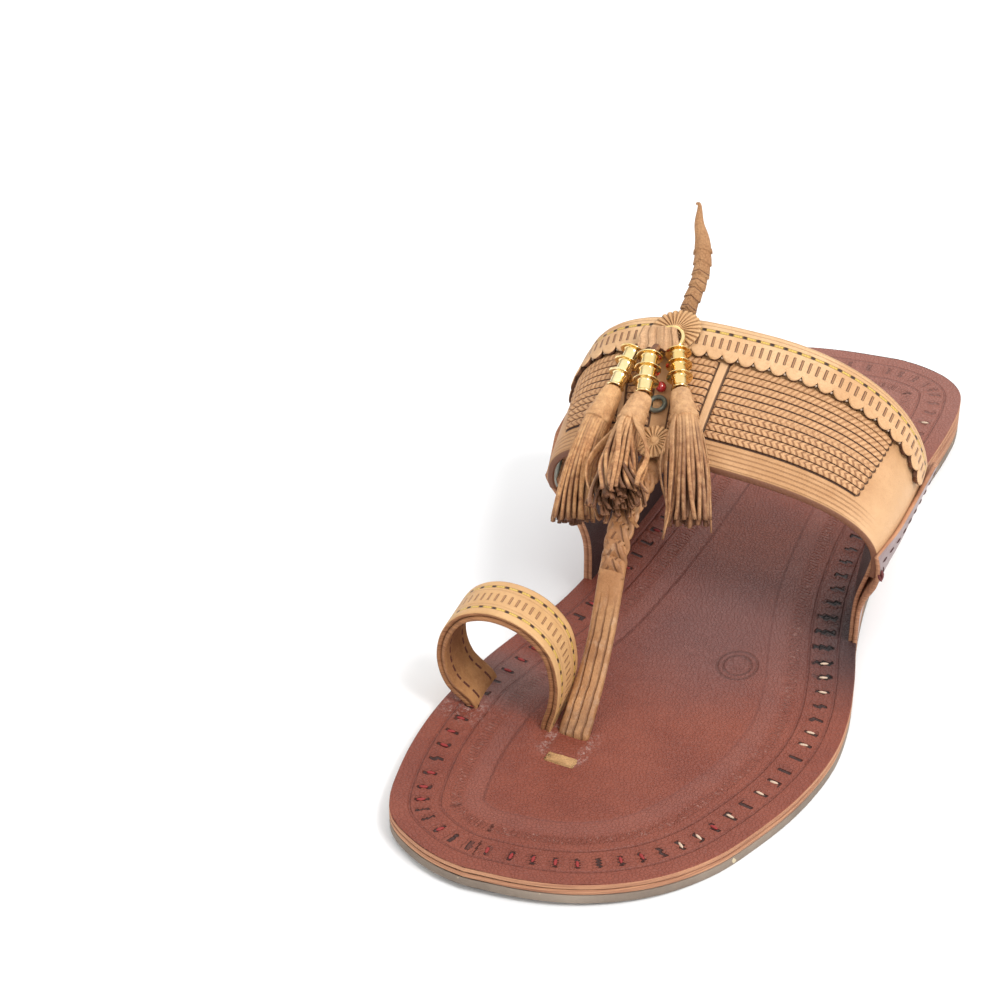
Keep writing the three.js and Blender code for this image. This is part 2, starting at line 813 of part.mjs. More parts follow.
const stripLift = seam + stripThick + seam;
const rosetteTopFrame = bandFrame({ side: -0.523, along: 0.5755, lift: stripLift });
const rosetteLowFrame = bandFrame({ side: -0.34, along: 0.448, lift: braidHeight + thongThick });

// Horn behind the top rosette: side, back and up are shares of its length from its seat on the band's back edge
const hornSeat = { side: -0.538, up: 0.964 };
const hornRows = [
  { side: 0, back: 0, up: -0.07 },
  { side: 0, back: 0.005, up: 0 },
  { side: 0.01, back: 0.015, up: 0.071 },
  { side: 0.02, back: 0.05, up: 0.138 },
  { side: 0.034, back: 0.12, up: 0.24 },
  { side: 0.028, back: 0.19, up: 0.34 },
  { side: -0.024, back: 0.3, up: 0.47 },
  { side: -0.081, back: 0.37, up: 0.555 },
  { side: -0.119, back: 0.455, up: 0.662 },
];
const hornSteps = 20;
const hornFolds = 7;
const hornFlat = 0.8;
const hornSides = 8;

function hornSolid() {
  const seat = point(hornSeat.side * halfBall, bandFrontY + bandWidth + seam + hornHalfWidth * hornFlat,
    soleLevel + hornSeat.up * bandBackRise);
  const stops = hornRows.map((row) => (
    seat.clone().add(point(row.side, row.back, row.up).multiplyScalar(hornLength))));
  const line = new THREE.CatmullRomCurve3(stops, false, 'centripetal').getSpacedPoints(hornSteps);
  return sweepStrap(line, (t) => {
    const folds = t < 0.62 ? (t * hornFolds / 0.62) % 1 : 1;
    const body = t < 0.62 ? mix(0.85, 1, t / 0.62) : mix(1, 0.14, ((t - 0.62) / 0.38) ** 0.8);
    const reach = hornHalfWidth * body * mix(1, 0.86, folds);
    return Array.from({ length: hornSides }, (_, k) => {
      const turn = 2 * Math.PI * k / hornSides;
      return [reach * Math.cos(turn), reach * hornFlat * Math.sin(turn)];
    });
  });
}

// Brass ring through the apron's fold
const ringPlace = { side: -0.52, along: 0.555, lift: stripLift + rosetteThick * 1.35 + seam + ringWire };
const ringFrame = bandFrame(ringPlace);

function ringSolid(clearance) {
  const frame = ringFrame;
  const basis = new THREE.Matrix4().makeBasis(frame.along, frame.back, frame.up).setPosition(frame.origin);
  return new THREE.TorusGeometry(ringRadius, ringWire + clearance, 6, 18).applyMatrix4(basis);
}

// Apron: rows from its lower edge up to the fold, half is half the row's width as a share of the apron's width
const apronRows = [
  { along: 0.537, side: -0.54, half: 0.5, edge: 0.35 },
  { along: 0.542, side: -0.545, half: 0.5, edge: 0 },
  { along: 0.552, side: -0.57, half: 0.47, edge: 0 },
  { along: 0.56, side: -0.585, half: 0.42, edge: 0 },
  { along: 0.564, side: -0.588, half: 0.39, edge: 0.35 },
];

function apronSolid() {
  const columns = 7;
  const low = ringPlace.lift - apronThick / 2;
  const across = (row, lift) => Array.from({ length: columns }, (_, k) => {
    const reach = mix(-row.half, row.half, k / (columns - 1)) * apronWidth;
    return onBand({ side: row.side + reach / halfBall, along: row.along, lift });
  });
  const face = apronRows.map((row) => across(row, low + apronThick - row.edge));
  const back = apronRows.map((row) => across(row, low + row.edge));
  return cut(slab(face, back), ringSolid(seam), ...tasselRows.map(hangRoom));
}

// Round piece turned about a straight axis: profile rows are share along the axis and radius
function turned(start, end, profile, sides, phase = 0) {
  const run = end.clone().sub(start);
  const axis = run.clone().normalize();
  const right = axis.clone().cross(point(0, 0, 1)).normalize();
  const upward = right.clone().cross(axis);
  return loft(profile.map(({ at, radius }) => Array.from({ length: sides }, (_, k) => {
    const turn = 2 * Math.PI * k / sides + phase;
    return start.clone().addScaledVector(run, at).addScaledVector(right, radius * Math.cos(turn))
      .addScaledVector(upward, radius * Math.sin(turn));
  })));
}

// Flanged cap: three spools on one bore
const capBody = 0.7;

function capProfile() {
  const rows = [];
  for (let k = 0; k < 3; k += 1) {
    const from = k / 3;
    rows.push({ at: from, radius: capFlange * 0.92 });
    rows.push({ at: from + 0.04, radius: capFlange });
    rows.push({ at: from + 0.08, radius: capFlange * 0.92 });
    rows.push({ at: from + 0.1, radius: capFlange * capBody });
    rows.push({ at: from + 0.32, radius: capFlange * (k === 2 ? capBody : capBody * 0.96) });
  }
  return rows;
}

function capSolid(start, end) {
  const body = turned(start, end, capProfile(), 10);
  const bore = turned(start, end, [{ at: -0.2, radius: capBore }, { at: 1.2, radius: capBore }], 8);
  return cut(body, bore);
}

// Tassel: cord through the cap, rolled head, and a skirt of strips fused along a bent line
const fringeStrips = 13;
const fringeRows = [
  { at: 0, flare: 0, groove: 0.05 },
  { at: 0.35, flare: 0.45, groove: 0.3 },
  { at: 0.65, flare: 0.8, groove: 0.36 },
  { at: 0.9, flare: 0.97, groove: 0.4 },
  { at: 1, flare: 1, groove: 0.42 },
];
const fringeFlat = 0.72;
const raggedness = 2.4;
const cordRadius = capBore - seam;
const headGap = 0.5;

function fringeSolid(line) {
  const sides = fringeStrips * 3;
  return loft(fringeRows.map((row) => {
    const centre = line.getPointAt(row.at);
    const run = line.getTangentAt(row.at).normalize();
    const right = run.clone().cross(point(0, 0, 1)).normalize();
    const upward = right.clone().cross(run);
    const flat = mix(1, fringeFlat, row.flare);
    return Array.from({ length: sides }, (_, k) => {
      const turn = 2 * Math.PI * k / sides;
      const isGroove = k % 3 === 2;
      const reach = mix(tasselHead * 0.88, tasselFlare, row.flare) * (isGroove ? 1 - row.groove : 1);
      const strip = Math.floor(k / 3);
      const ragged = row.at === 1 && !isGroove ? raggedness * ((strip * 5) % 4) / 4 : 0;
      return centre.clone().addScaledVector(right, reach * Math.cos(turn))
        .addScaledVector(upward, reach * flat * Math.sin(turn)).addScaledVector(run, ragged);
    });
  }));
}

function tasselSolid([hang, capTop, headStart], headEnd, tip) {
  const cord = [{ at: 0, radius: cordRadius }, { at: 1, radius: cordRadius }];
  const above = turned(hang, capTop, cord, 8);
  const inside = turned(capTop, headStart, cord, 8);
  const head = turned(headStart, headEnd, [
    { at: 0, radius: tasselHead * 0.7 },
    { at: 0.12, radius: tasselHead * 0.92 },
    { at: 0.75, radius: tasselHead },
    { at: 1.05, radius: tasselHead * 0.9 },
  ], 10);
  const run = headEnd.clone().sub(headStart);
  const bend = headEnd.clone().addScaledVector(run.clone().normalize(), headEnd.distanceTo(tip) * 0.45);
  const line = new THREE.QuadraticBezierCurve3(headEnd.clone().addScaledVector(run, -0.12), bend, tip);
  return join(above, inside, head, fringeSolid(line));
}

// Places of the three tassels on the band: the cap's top, where the cap points, and where the tassel's head ends.
// The tip's side and along are the same shares, its up a share of the band's front rise.
const tasselRows = [
  {
    name: 'medial',
    hang: { side: -0.672, along: 0.544, lift: 5.1 },
    top: { side: -0.688, along: 0.5379, lift: 5.3 },
    aim: { side: -0.69, along: 0.4955, lift: 5.3 },
    head: { side: -0.713, along: 0.4625, lift: 5.6 },
    tip: { side: -0.655, along: 0.386, up: 0.739 },
  },
  {
    name: 'middle',
    hang: { side: -0.55, along: 0.538, lift: 7 },
    top: { side: -0.542, along: 0.5176, lift: 9.6 },
    aim: { side: -0.483, along: 0.4793, lift: 9.8 },
    head: { side: -0.475, along: 0.4432, lift: 10.5 },
    tip: { side: -0.26, along: 0.332, up: 1.065 },
  },
  {
    name: 'lateral',
    hang: { side: -0.4395, along: 0.5442, lift: 5.3 },
    top: { side: -0.428, along: 0.54, lift: 5.3 },
    aim: { side: -0.326, along: 0.5022, lift: 5.5 },
    head: { side: -0.215, along: 0.4681, lift: 6.4 },
    tip: { side: -0.02, along: 0.399, up: 0.78 },
  },
];

function capAxis(row) {
  const top = onBand(row.top);
  const aim = onBand(row.aim).sub(top).normalize();
  return { hang: onBand(row.hang), top, end: top.clone().addScaledVector(aim, capLength), aim };
}

function addTassel(row) {
  const { hang, top, end, aim } = capAxis(row);
  const headStart = end.clone().addScaledVector(aim, headGap);
  const tipY = alongToY(row.tip.along);
  const tip = point(row.tip.side * halfBall, tipY, insoleTop(tipY) + row.tip.up * bandFrontRise);
  addPiece(`cap_${row.name}`, capSolid(top, end), 'brass');
  addPiece(`tassel_${row.name}`, tasselSolid([hang, top, headStart], onBand(row.head), tip), 'tanLeather');
}

// Room that a cap and the cord above it take in the apron's lower edge
function hangRoom(row) {
  const { hang, top, end } = capAxis(row);
  const cord = hang.clone().lerp(top, -seam / hang.distanceTo(top));
  const cap = top.clone().lerp(end, -seam / capLength);
  const room = (from, to, radius) => turned(from, to, [{ at: 0, radius }, { at: 1, radius }], 10);
  return join(room(cord, top, capBore), room(cap, end, capFlange + seam));
}

// Eyelet and bead on the plain middle of the band
const eyeletFrame = bandFrame({ side: -0.44, along: 0.4977, lift: 0 });
const beadPlace = { side: -0.4585, along: 0.512, lift: beadRadius + seam };

function eyeletSolid() {
  const wire = 0.7;
  const frame = eyeletFrame;
  const basis = new THREE.Matrix4().makeBasis(frame.along, frame.back, frame.up)
    .setPosition(placeOn(frame, 0, 0, wire + seam));
  return new THREE.TorusGeometry(eyeletRadius, wire, 6, 14).applyMatrix4(basis);
}

function beadSolid() {
  const centre = onBand(beadPlace);
  return new THREE.SphereGeometry(beadRadius, 10, 7).translate(centre.x, centre.y, centre.z);
}

// Assembly
addPiece('outsole', soleSheet(rubberBottom, rubberTop), 'rubber');
addPiece('heel_lift', soleSheet(liftBottom, liftTop, liftStart), 'paleLeather');
addPiece('midsole', soleSheet(midsoleBottom, midsoleTop), 'paleLeather');
addPiece('insole', insoleSolid([flapRoom(1), flapRoom(-1)]), 'brownLeather');
addPiece('flap_lateral', cut(flapSolid(1), bandRoom(1, seam)), 'flapLeather');
addPiece('flap_medial', cut(flapSolid(-1), bandRoom(-1, seam)), 'flapLeather');
addPiece('upper', join(bandWallSolid(), thongSolid()), 'tanLeather');
addPiece('edge_strip', stripSolid(), 'tanLeather');
addPiece('toe_loop', loopSolid(), 'tanLeather');
addPiece('thong_tab', tabSolid(), 'tanLeather');
addPiece('rosette_top', rosetteSolid(rosetteTopFrame, rosetteTopRadius, 14), 'tanLeather');
addPiece('rosette_low', rosetteSolid(rosetteLowFrame, rosetteLowRadius, 11), 'tanLeather');
addPiece('horn', hornSolid(), 'tanLeather');
addPiece('ring', ringSolid(0), 'brass');
addPiece('apron', apronSolid(), 'tanLeather');
tasselRows.forEach(addTassel);
addPiece('eyelet', eyeletSolid(), 'brass');
addPiece('bead', beadSolid(), 'glass');

// The origin is on the floor under the middle of the sandal
const extent = new THREE.Box3().setFromObject(sandal);
const middle = extent.getCenter(point(0, 0, 0));
sandal.position.set(-middle.x, -middle.y, -extent.min.z);

export default sandal;
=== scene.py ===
# %% [markdown]
# # A kolhapuri sandal
# The sandal is a flat leather shoe: a sole of stacked sheets, a braided band over the instep, a thong and a
# toe loop, and a bunch of trimmings on the big toe side. Its solids are already packed, so this lesson keeps
# them as the frame and dresses each one. Places below are millimetres in the sandal's own drawing, with the
# toe towards -Y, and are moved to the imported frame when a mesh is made.

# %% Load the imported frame
import math
import random
import bmesh
import bpy
import numpy as np
from mathutils import Matrix, Vector


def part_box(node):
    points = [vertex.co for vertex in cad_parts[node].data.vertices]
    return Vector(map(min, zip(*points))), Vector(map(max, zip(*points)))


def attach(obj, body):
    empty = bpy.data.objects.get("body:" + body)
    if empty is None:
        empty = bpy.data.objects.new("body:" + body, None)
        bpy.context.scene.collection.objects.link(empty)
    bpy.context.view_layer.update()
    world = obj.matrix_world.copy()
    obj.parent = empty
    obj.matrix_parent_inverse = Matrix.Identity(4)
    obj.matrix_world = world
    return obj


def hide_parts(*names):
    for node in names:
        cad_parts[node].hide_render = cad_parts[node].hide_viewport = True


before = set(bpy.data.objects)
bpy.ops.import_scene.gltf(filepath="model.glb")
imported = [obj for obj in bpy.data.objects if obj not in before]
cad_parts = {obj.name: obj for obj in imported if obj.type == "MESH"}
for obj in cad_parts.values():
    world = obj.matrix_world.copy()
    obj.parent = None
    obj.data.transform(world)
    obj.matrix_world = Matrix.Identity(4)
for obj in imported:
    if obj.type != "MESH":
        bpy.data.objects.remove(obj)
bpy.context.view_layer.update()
MM = 0.001
luck = random.Random(7)
print("nodes:", len(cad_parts))

# %% [markdown]
# ## The foot's sizes
# A sandal is drawn from a few lengths: the foot's length, the width at the ball, the height of the instep.
# They could be read off the solids, but naming them once keeps every later piece in step with the others.

# %% Named sizes
foot_length = 282.0
half_ball = 53.0
rubber_thick, midsole_thick, insole_thick = 2.7, 1.5, 1.6
lift_tip, lift_height = 0.6, 5.4
toe_spring, arch_rise, seam = 2.0, 1.2, 0.3
band_width, band_half_span, band_wall, band_crown = 42.0, 51.0, 2.2, 1.0
band_front_rise, band_back_rise = 52.6, 72.3
flap_length, flap_height, flap_leaf = 60.0, 39.5, 1.1
toe_y = -foot_length / 2


def mix(a, b, t):
    return a + (b - a) * t


def smooth(t):
    s = np.clip(t, 0, 1)
    return s * s * (3 - 2 * s)


def along_y(share):
    return toe_y + share * foot_length


# %% [markdown]
# ## Smooth lines through a few stops
# An outline or a strap is drawn as a handful of stops with a smooth line through them. Blender's own curves
# would do, but a centripetal line never loops between close stops, so it suits tight toe and heel ends.

# %% Line helpers
def resample(line, count):
    steps = np.linalg.norm(np.diff(line, axis=0), axis=1)
    reach = np.concatenate([[0], np.cumsum(steps)])
    want = np.linspace(0, reach[-1], count)
    return np.stack([np.interp(want, reach, line[:, k]) for k in range(3)], axis=1)


def smooth_line(stops, count):
    p = np.array(stops, float)
    p = np.vstack([2 * p[0] - p[1], p, 2 * p[-1] - p[-2]])
    runs = []
    s = np.linspace(0, 1, 24, endpoint=False)[:, None]
    for a, b, c, d in zip(p, p[1:], p[2:], p[3:]):
        r = [math.sqrt(max(np.linalg.norm(v), 1e-6)) for v in (b - a, c - b, d - c)]
        leave = ((b - a) / r[0] - (c - a) / (r[0] + r[1]) + (c - b) / r[1]) * r[1]
        arrive = ((c - b) / r[1] - (d - b) / (r[1] + r[2]) + (d - c) / r[2]) * r[1]
        runs.append(b + leave * s + (3 * (c - b) - 2 * leave - arrive) * s**2
                    + (2 * (b - c) + leave + arrive) * s**3)
    return resample(np.vstack(runs + [p[-2:-1]]), count)


# %% [markdown]
# ## The outline of the sole
# The sole has a straight big toe side and a swept little toe side. Each side is a short table of shares:
# how far along the foot, and how far out from the centre line as a share of half the ball's width.

# %% Outline of the sole
tips = {"toe": (0, -0.26), "heel": (1, 0.09)}
lateral_stops = [
    (0.01, 0.036), (0.025, 0.257), (0.048, 0.455), (0.079, 0.632), (0.122, 0.787), (0.168, 0.888),
    (0.234, 0.99), (0.307, 1.033), (0.364, 1.0), (0.419, 0.925), (0.48, 0.82), (0.56, 0.72), (0.66, 0.65),
    (0.77, 0.622), (0.87, 0.63), (0.925, 0.612), (0.962, 0.555), (0.984, 0.44), (0.997, 0.25),
]
medial_stops = [
    (0.002, -0.4), (0.011, -0.56), (0.033, -0.75), (0.06, -0.84), (0.1, -0.905), (0.15, -0.953),
    (0.212, -0.968), (0.287, -0.93), (0.345, -0.868), (0.41, -0.785), (0.48, -0.748), (0.58, -0.722),
    (0.7, -0.728), (0.8, -0.75), (0.88, -0.757), (0.93, -0.725), (0.958, -0.655), (0.974, -0.53),
    (0.988, -0.3),
]
edge_samples = 241


def outline_side(stops):
    rows = [tips["toe"], *stops, tips["heel"]]
    return smooth_line([(out * half_ball, along_y(share), 0) for share, out in rows], edge_samples)


lateral_edge = outline_side(lateral_stops)
medial_edge = outline_side(medial_stops)
shift = Vector((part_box("outsole")[0][0] / MM - medial_edge[:, 0].min(), 0, 0))
print("drawing moved to the frame by", round(shift.x, 3), "mm")


def edge_x(side, y):
    edge = lateral_edge if side > 0 else medial_edge
    return np.interp(y, edge[:, 1], edge[:, 0])


# %% [markdown]
# ## Heights of the layers
# From the floor up: rubber, a wedge under the heel, a middle leather and the insole, each a seam's width
# above the last. The toe springs up a little and the waist rises, so every height depends on Y.

# %% Layer heights
def rubber_top(y):
    spring_start, arch_start, arch_end = along_y(0.16), along_y(0.36), along_y(0.76)
    spring = toe_spring * np.clip((spring_start - y) / (spring_start - toe_y), 0, 1) ** 2
    arch = arch_rise * np.sin(np.pi * np.clip((y - arch_start) / (arch_end - arch_start), 0, 1)) ** 2
    return spring + arch + rubber_thick


lift_start, lift_full = along_y(0.565), along_y(0.92)


def lift_top(y):
    wedge = mix(lift_tip, lift_height, np.clip((y - lift_start) / (lift_full - lift_start), 0, 1))
    return rubber_top(y) + seam + wedge


def midsole_bottom(y):
    ramp_length = foot_length * 0.08
    back = np.maximum(y, lift_start)
    over = lift_top(back) + seam - rubber_top(back)
    return rubber_top(y) + mix(seam, over, smooth((y - lift_start + ramp_length) / ramp_length))


def midsole_top(y):
    return midsole_bottom(y) + midsole_thick


def insole_top(y):
    return midsole_top(y) + seam + insole_thick


print("insole top at the ball", round(float(insole_top(-68.0)), 2), "mm")

# %% [markdown]
# ## Making a mesh from a sheet
# Nearly every piece is leather cut from a sheet. So one helper makes Blender's own grid, and a second line
# says where each point of that sheet goes. Two numbers stay with each point, its place along and across the
# sheet in millimetres, so that stitches and slots can be drawn on the leather and bend with it.

# %% Sheet helpers
def sheet(columns, rows, place):
    bm = bmesh.new()
    bmesh.ops.create_grid(bm, x_segments=columns, y_segments=rows, size=0.5)
    s = np.array([vert.co.x + 0.5 for vert in bm.verts])
    t = np.array([vert.co.y + 0.5 for vert in bm.verts])
    run = bm.verts.layers.float.new("along")
    out = bm.verts.layers.float.new("across")
    for vert, spot, along, across in zip(bm.verts, *place(s, t)):
        vert.co = Vector(spot)
        vert[run] = along
        vert[out] = across
    return bm


def face_away(bm, centre):
    bm.normal_update()
    outwards = sum((face.calc_center_median() - Vector(centre)).dot(face.normal) for face in bm.faces)
    if outwards < 0:
        bmesh.ops.reverse_faces(bm, faces=bm.faces[:])


def finish_piece(name, bm, looks, nodes=(), wall=0, closed=False):
    bm.normal_update()
    if closed:
        bmesh.ops.recalc_face_normals(bm, faces=bm.faces[:])
    bmesh.ops.transform(bm, matrix=Matrix.Scale(MM, 4) @ Matrix.Translation(shift), verts=bm.verts[:])
    mesh = bpy.data.meshes.new(name)
    bm.to_mesh(mesh)
    bm.free()
    mesh.shade_smooth()
    for look in looks:
        mesh.materials.append(look)
    piece = bpy.data.objects.new(name, mesh)
    bpy.context.collection.objects.link(piece)
    if wall:
        solid = piece.modifiers.new("wall", "SOLIDIFY")
        solid.thickness = wall * MM
        solid.offset = -1
        solid.material_offset_rim = 1 if len(looks) > 1 else 0
        solid.material_offset = 2 if len(looks) > 2 else 0
    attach(piece, "root")
    if nodes:
        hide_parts(*nodes)
    print(name, len(mesh.polygons), "faces")


# %% [markdown]
# ## Wiring a material
# A finish is drawn with small sums on the shader's inputs. Writing each Math node by hand is long, so a
# wire that knows plus, minus and times keeps a pattern as readable as its formula.

# %% Shader wiring helpers
class Wire:
    def __init__(self, socket):
        self.socket = socket

    def __add__(self, other):
        return calc("ADD", self, other)

    def __sub__(self, other):
        return calc("SUBTRACT", self, other)

    def __mul__(self, other):
        return calc("MULTIPLY", self, other)

    def __truediv__(self, other):
        return calc("DIVIDE", self, other)

    __radd__ = __add__
    __rmul__ = __mul__

    def __rsub__(self, other):
        return calc("SUBTRACT", other, self)


def plug(tree, value, socket):
    if isinstance(value, Wire):
        tree.links.new(value.socket, socket)
    else:
        socket.default_value = value


def calc(operation, *values):
    tree = next(value for value in values if isinstance(value, Wire)).socket.node.id_data
    node = tree.nodes.new("ShaderNodeMath")
    node.operation = operation
    for value, socket in zip(values, node.inputs):
        plug(tree, value, socket)
    return Wire(node.outputs[0])


def rise(value, low, high):
    node = value.socket.node.id_data.nodes.new("ShaderNodeMapRange")
    node.interpolation_type = "SMOOTHSTEP"
    plug(node.id_data, value, node.inputs[0])
    node.inputs[1].default_value = low
    node.inputs[2].default_value = high
    return Wire(node.outputs[0])


def near(value, middle, reach, soft=0.35):
    return 1 - rise(calc("ABSOLUTE", value - middle), reach * (1 - soft), reach * (1 + soft))


def repeat(value, pitch):
    return calc("FRACT", value / pitch)


def blend(share, first, second):
    tree = next(v for v in (share, first, second) if isinstance(v, Wire)).socket.node.id_data
    node = tree.nodes.new("ShaderNodeMix")
    node.data_type = "RGBA"
    plug(tree, share, node.inputs[0])
    for value, socket in ((first, node.inputs[6]), (second, node.inputs[7])):
        plug(tree, value if isinstance(value, Wire) else (*value, 1), socket)
    return Wire(node.outputs[2])


def coats(tone, *layers):
    for share, colour in layers:
        tone = blend(share, tone, colour)
    return tone


def oval(x, y, middle, reach):
    x_share, y_share = ((value - at) / half for value, at, half in zip((x, y), middle, reach))
    return calc("SQRT", calc("POWER", x_share, 2.0) + calc("POWER", y_share, 2.0))


# %% [markdown]
# ## Shared leather effects
# All the leathers share one grain: pores, soft mottling and fine fibres. It is built once as a node group
# and placed in each material with its own scale. A second group draws a running stitch from a place along
# and across the leather, because the band, the loop and the overlay are all sewn the same way.

# %% Grain and stitch groups
def new_group(name, inputs, outputs):
    group = bpy.data.node_groups.new(name, "ShaderNodeTree")
    for label, value in inputs:
        socket = group.interface.new_socket(label, in_out="INPUT", socket_type="NodeSocketFloat")
        socket.default_value = value
    for label in outputs:
        group.interface.new_socket(label, in_out="OUTPUT", socket_type="NodeSocketFloat")
    return group, group.nodes.new("NodeGroupInput"), group.nodes.new("NodeGroupOutput")


def noise(tree, scale, detail=4.0, rough=0.6, stretch=None):
    place = tree.nodes.new("ShaderNodeTexCoord").outputs["Object"]
    if stretch:
        mapping = tree.nodes.new("ShaderNodeMapping")
        mapping.inputs["Scale"].default_value = stretch
        tree.links.new(place, mapping.inputs["Vector"])
        place = mapping.outputs[0]
    node = tree.nodes.new("ShaderNodeTexNoise")
    tree.links.new(place, node.inputs["Vector"])
    plug(tree, scale, node.inputs["Scale"])
    node.inputs["Detail"].default_value = detail
    node.inputs["Roughness"].default_value = rough
    return Wire(node.outputs[0])


grain_group, grain_in, grain_out = new_group("leather_grain", [("Scale", 1.0)], ["Height", "Mottle", "Fibre"])
size = Wire(grain_in.outputs["Scale"])
pores = grain_group.nodes.new("ShaderNodeTexVoronoi")
pores.feature = "DISTANCE_TO_EDGE"
plug(grain_group, size * 1100.0, pores.inputs["Scale"])
grain_group.links.new(grain_group.nodes.new("ShaderNodeTexCoord").outputs["Object"], pores.inputs["Vector"])
cells = rise(Wire(pores.outputs["Distance"]), 0.0, 0.16)
fine = noise(grain_group, size * 2600.0)
plug(grain_group, cells * 0.55 + fine * 0.45, grain_out.inputs["Height"])
plug(grain_group, rise(noise(grain_group, size * 55.0, 5.0, 0.62), 0.3, 0.72), grain_out.inputs["Mottle"])
plug(grain_group, noise(grain_group, size * 700.0, 3.0, 0.7), grain_out.inputs["Fibre"])

stitch_group, stitch_in, stitch_out = new_group(
    "running_stitch", [("Along", 0.0), ("Across", 0.0), ("Pitch", 4.0), ("Line", 0.0)], ["Thread", "Hole"])
along, out, pitch, line_at = (Wire(stitch_in.outputs[label]) for label in ("Along", "Across", "Pitch", "Line"))
step, off_line = repeat(along, pitch), calc("ABSOLUTE", out - line_at)
twist = near(repeat(along + off_line, 0.7), 0.5, 0.42, 0.5) * 0.5 + 0.5
thread = near(step, 0.5, 0.34, 0.12) * (1 - rise(off_line, 0.3, 0.5)) * twist
# The needle holes are coloured near black in the finishes: painted shade in the holes.
shaded_hole = (1 - near(step, 0.5, 0.36, 0.25)) * (1 - rise(off_line, 0.28, 0.58))
plug(stitch_group, thread, stitch_out.inputs["Thread"])
plug(stitch_group, shaded_hole, stitch_out.inputs["Hole"])
print("shared groups:", grain_group.name, stitch_group.name)

# %% [markdown]
# ## A finish
# Each material starts with its own scale of that grain, and ends in one Principled shader with a bump. A
# small class keeps the wires short, and a finish is then read from top to bottom: patterns, coats, relief.

# %% Start and close a material
class Finish:
    def __init__(self, name):
        self.material = bpy.data.materials.new(name)
        self.material.use_nodes = True
        self.tree = self.material.node_tree
        self.shader = self.tree.nodes["Principled BSDF"]

    def read(self, name):
        node = self.tree.nodes.new("ShaderNodeAttribute")
        node.attribute_name = name
        return Wire(node.outputs["Fac"])

    def sheet_place(self):
        return self.read("along"), self.read("across")

    def place(self, axis):
        node = self.tree.nodes.new("ShaderNodeSeparateXYZ")
        self.tree.links.new(self.tree.nodes.new("ShaderNodeTexCoord").outputs["Object"], node.inputs[0])
        return Wire(node.outputs[axis]) * (1 / MM)

    def group(self, group, **values):
        node = self.tree.nodes.new("ShaderNodeGroup")
        node.node_tree = group
        for label, value in values.items():
            plug(self.tree, value, node.inputs[label])
        return [Wire(socket) for socket in node.outputs]

    def noise(self, scale, detail=4.0, rough=0.6, stretch=None):
        return noise(self.tree, scale, detail, rough, stretch)

    def specks(self, scale=900.0, low=0.45, high=0.68):
        return rise(self.noise(scale, 5.0, 0.8), low, high)

    def close(self, colour, roughness, height, depth, **settings):
        plug(self.tree, colour if isinstance(colour, Wire) else (*colour, 1), self.shader.inputs["Base Color"])
        plug(self.tree, roughness, self.shader.inputs["Roughness"])
        bump = self.tree.nodes.new("ShaderNodeBump")
        bump.inputs["Distance"].default_value = depth * MM
        plug(self.tree, height, bump.inputs["Height"])
        self.tree.links.new(bump.outputs[0], self.shader.inputs["Normal"])
        for label, value in settings.items():
            self.shader.inputs[label.replace("_", " ")].default_value = value
        return self.material


def grained(name, scale):
    look = Finish(name)
    return look, *look.group(grain_group, Scale=scale)


# %% [markdown]
# ## The sole's edge
# Seen from the side the sole is bands of raw leather over rubber. A cut edge shows fibres that run along the
# sheet, so the noise is squeezed flat in Z. The rubber is dull, with a few pale specks of grit.

# %% Cut edge and rubber
def cut_edge(name, light, dark):
    look, _, mottle, fibre = grained(name, 0.8)
    layers = look.noise(1.0, 5.0, 0.7, stretch=(40, 40, 2400))
    tone = coats(blend(rise(layers, 0.35, 0.68), dark, light), (mottle * 0.35, light))
    return look.close(tone, 0.78, layers * 0.8 + fibre * 0.4, 0.25)


tan_edge = cut_edge("tan_cut_edge", (0.56, 0.28, 0.15), (0.29, 0.115, 0.06))

look, _, mottle, fibre = grained("sole_rubber", 0.5)
grit = rise(look.noise(260.0, 1.0, 0.4), 0.735, 0.76)
tone = coats(blend(mottle, (0.17, 0.13, 0.1), (0.29, 0.23, 0.18)), (grit, (0.6, 0.5, 0.33)))
sole_rubber = look.close(tone, 0.85, fibre, 0.3)
print("finishes:", tan_edge.name, sole_rubber.name)

# %% [markdown]
# ## Sole layers
# Each layer is one sheet cut to the outline, so a grid is laid over the top face and drawn down to its lower
# face. The rim is bevelled a little, since a knife and a rasp never leave a perfectly sharp edge.

# %% Build the sole layers
rim_line = np.vstack([medial_edge, lateral_edge[::-1]])
rim_run = np.concatenate([[0], np.cumsum(np.linalg.norm(np.diff(rim_line, axis=0), axis=1))])
print("rim of", round(rim_run[-1]), "mm")


def sole_grid(columns, rows, height_at, start=0.0, raised=None):
    def place(s, t):
        at = mix(start, 1, t) * (edge_samples - 1)
        index = np.clip(at, 0.05, edge_samples - 1.05)
        low = index.astype(int)
        part = (index - low)[:, None]
        left = mix(medial_edge[low], medial_edge[low + 1], part)
        right = mix(lateral_edge[low], lateral_edge[low + 1], part)
        spots = mix(left, right, s[:, None])
        spots[:, 2] = height_at(spots[:, 1]) + (raised(spots[:, 0], spots[:, 1]) if raised else 0)
        gap = np.hypot(*(spots[:, None, c] - rim_line[None, :, c] for c in (0, 1)))
        return spots, rim_run[gap.argmin(axis=1)], gap.min(axis=1)

    return sheet(columns, rows, place)


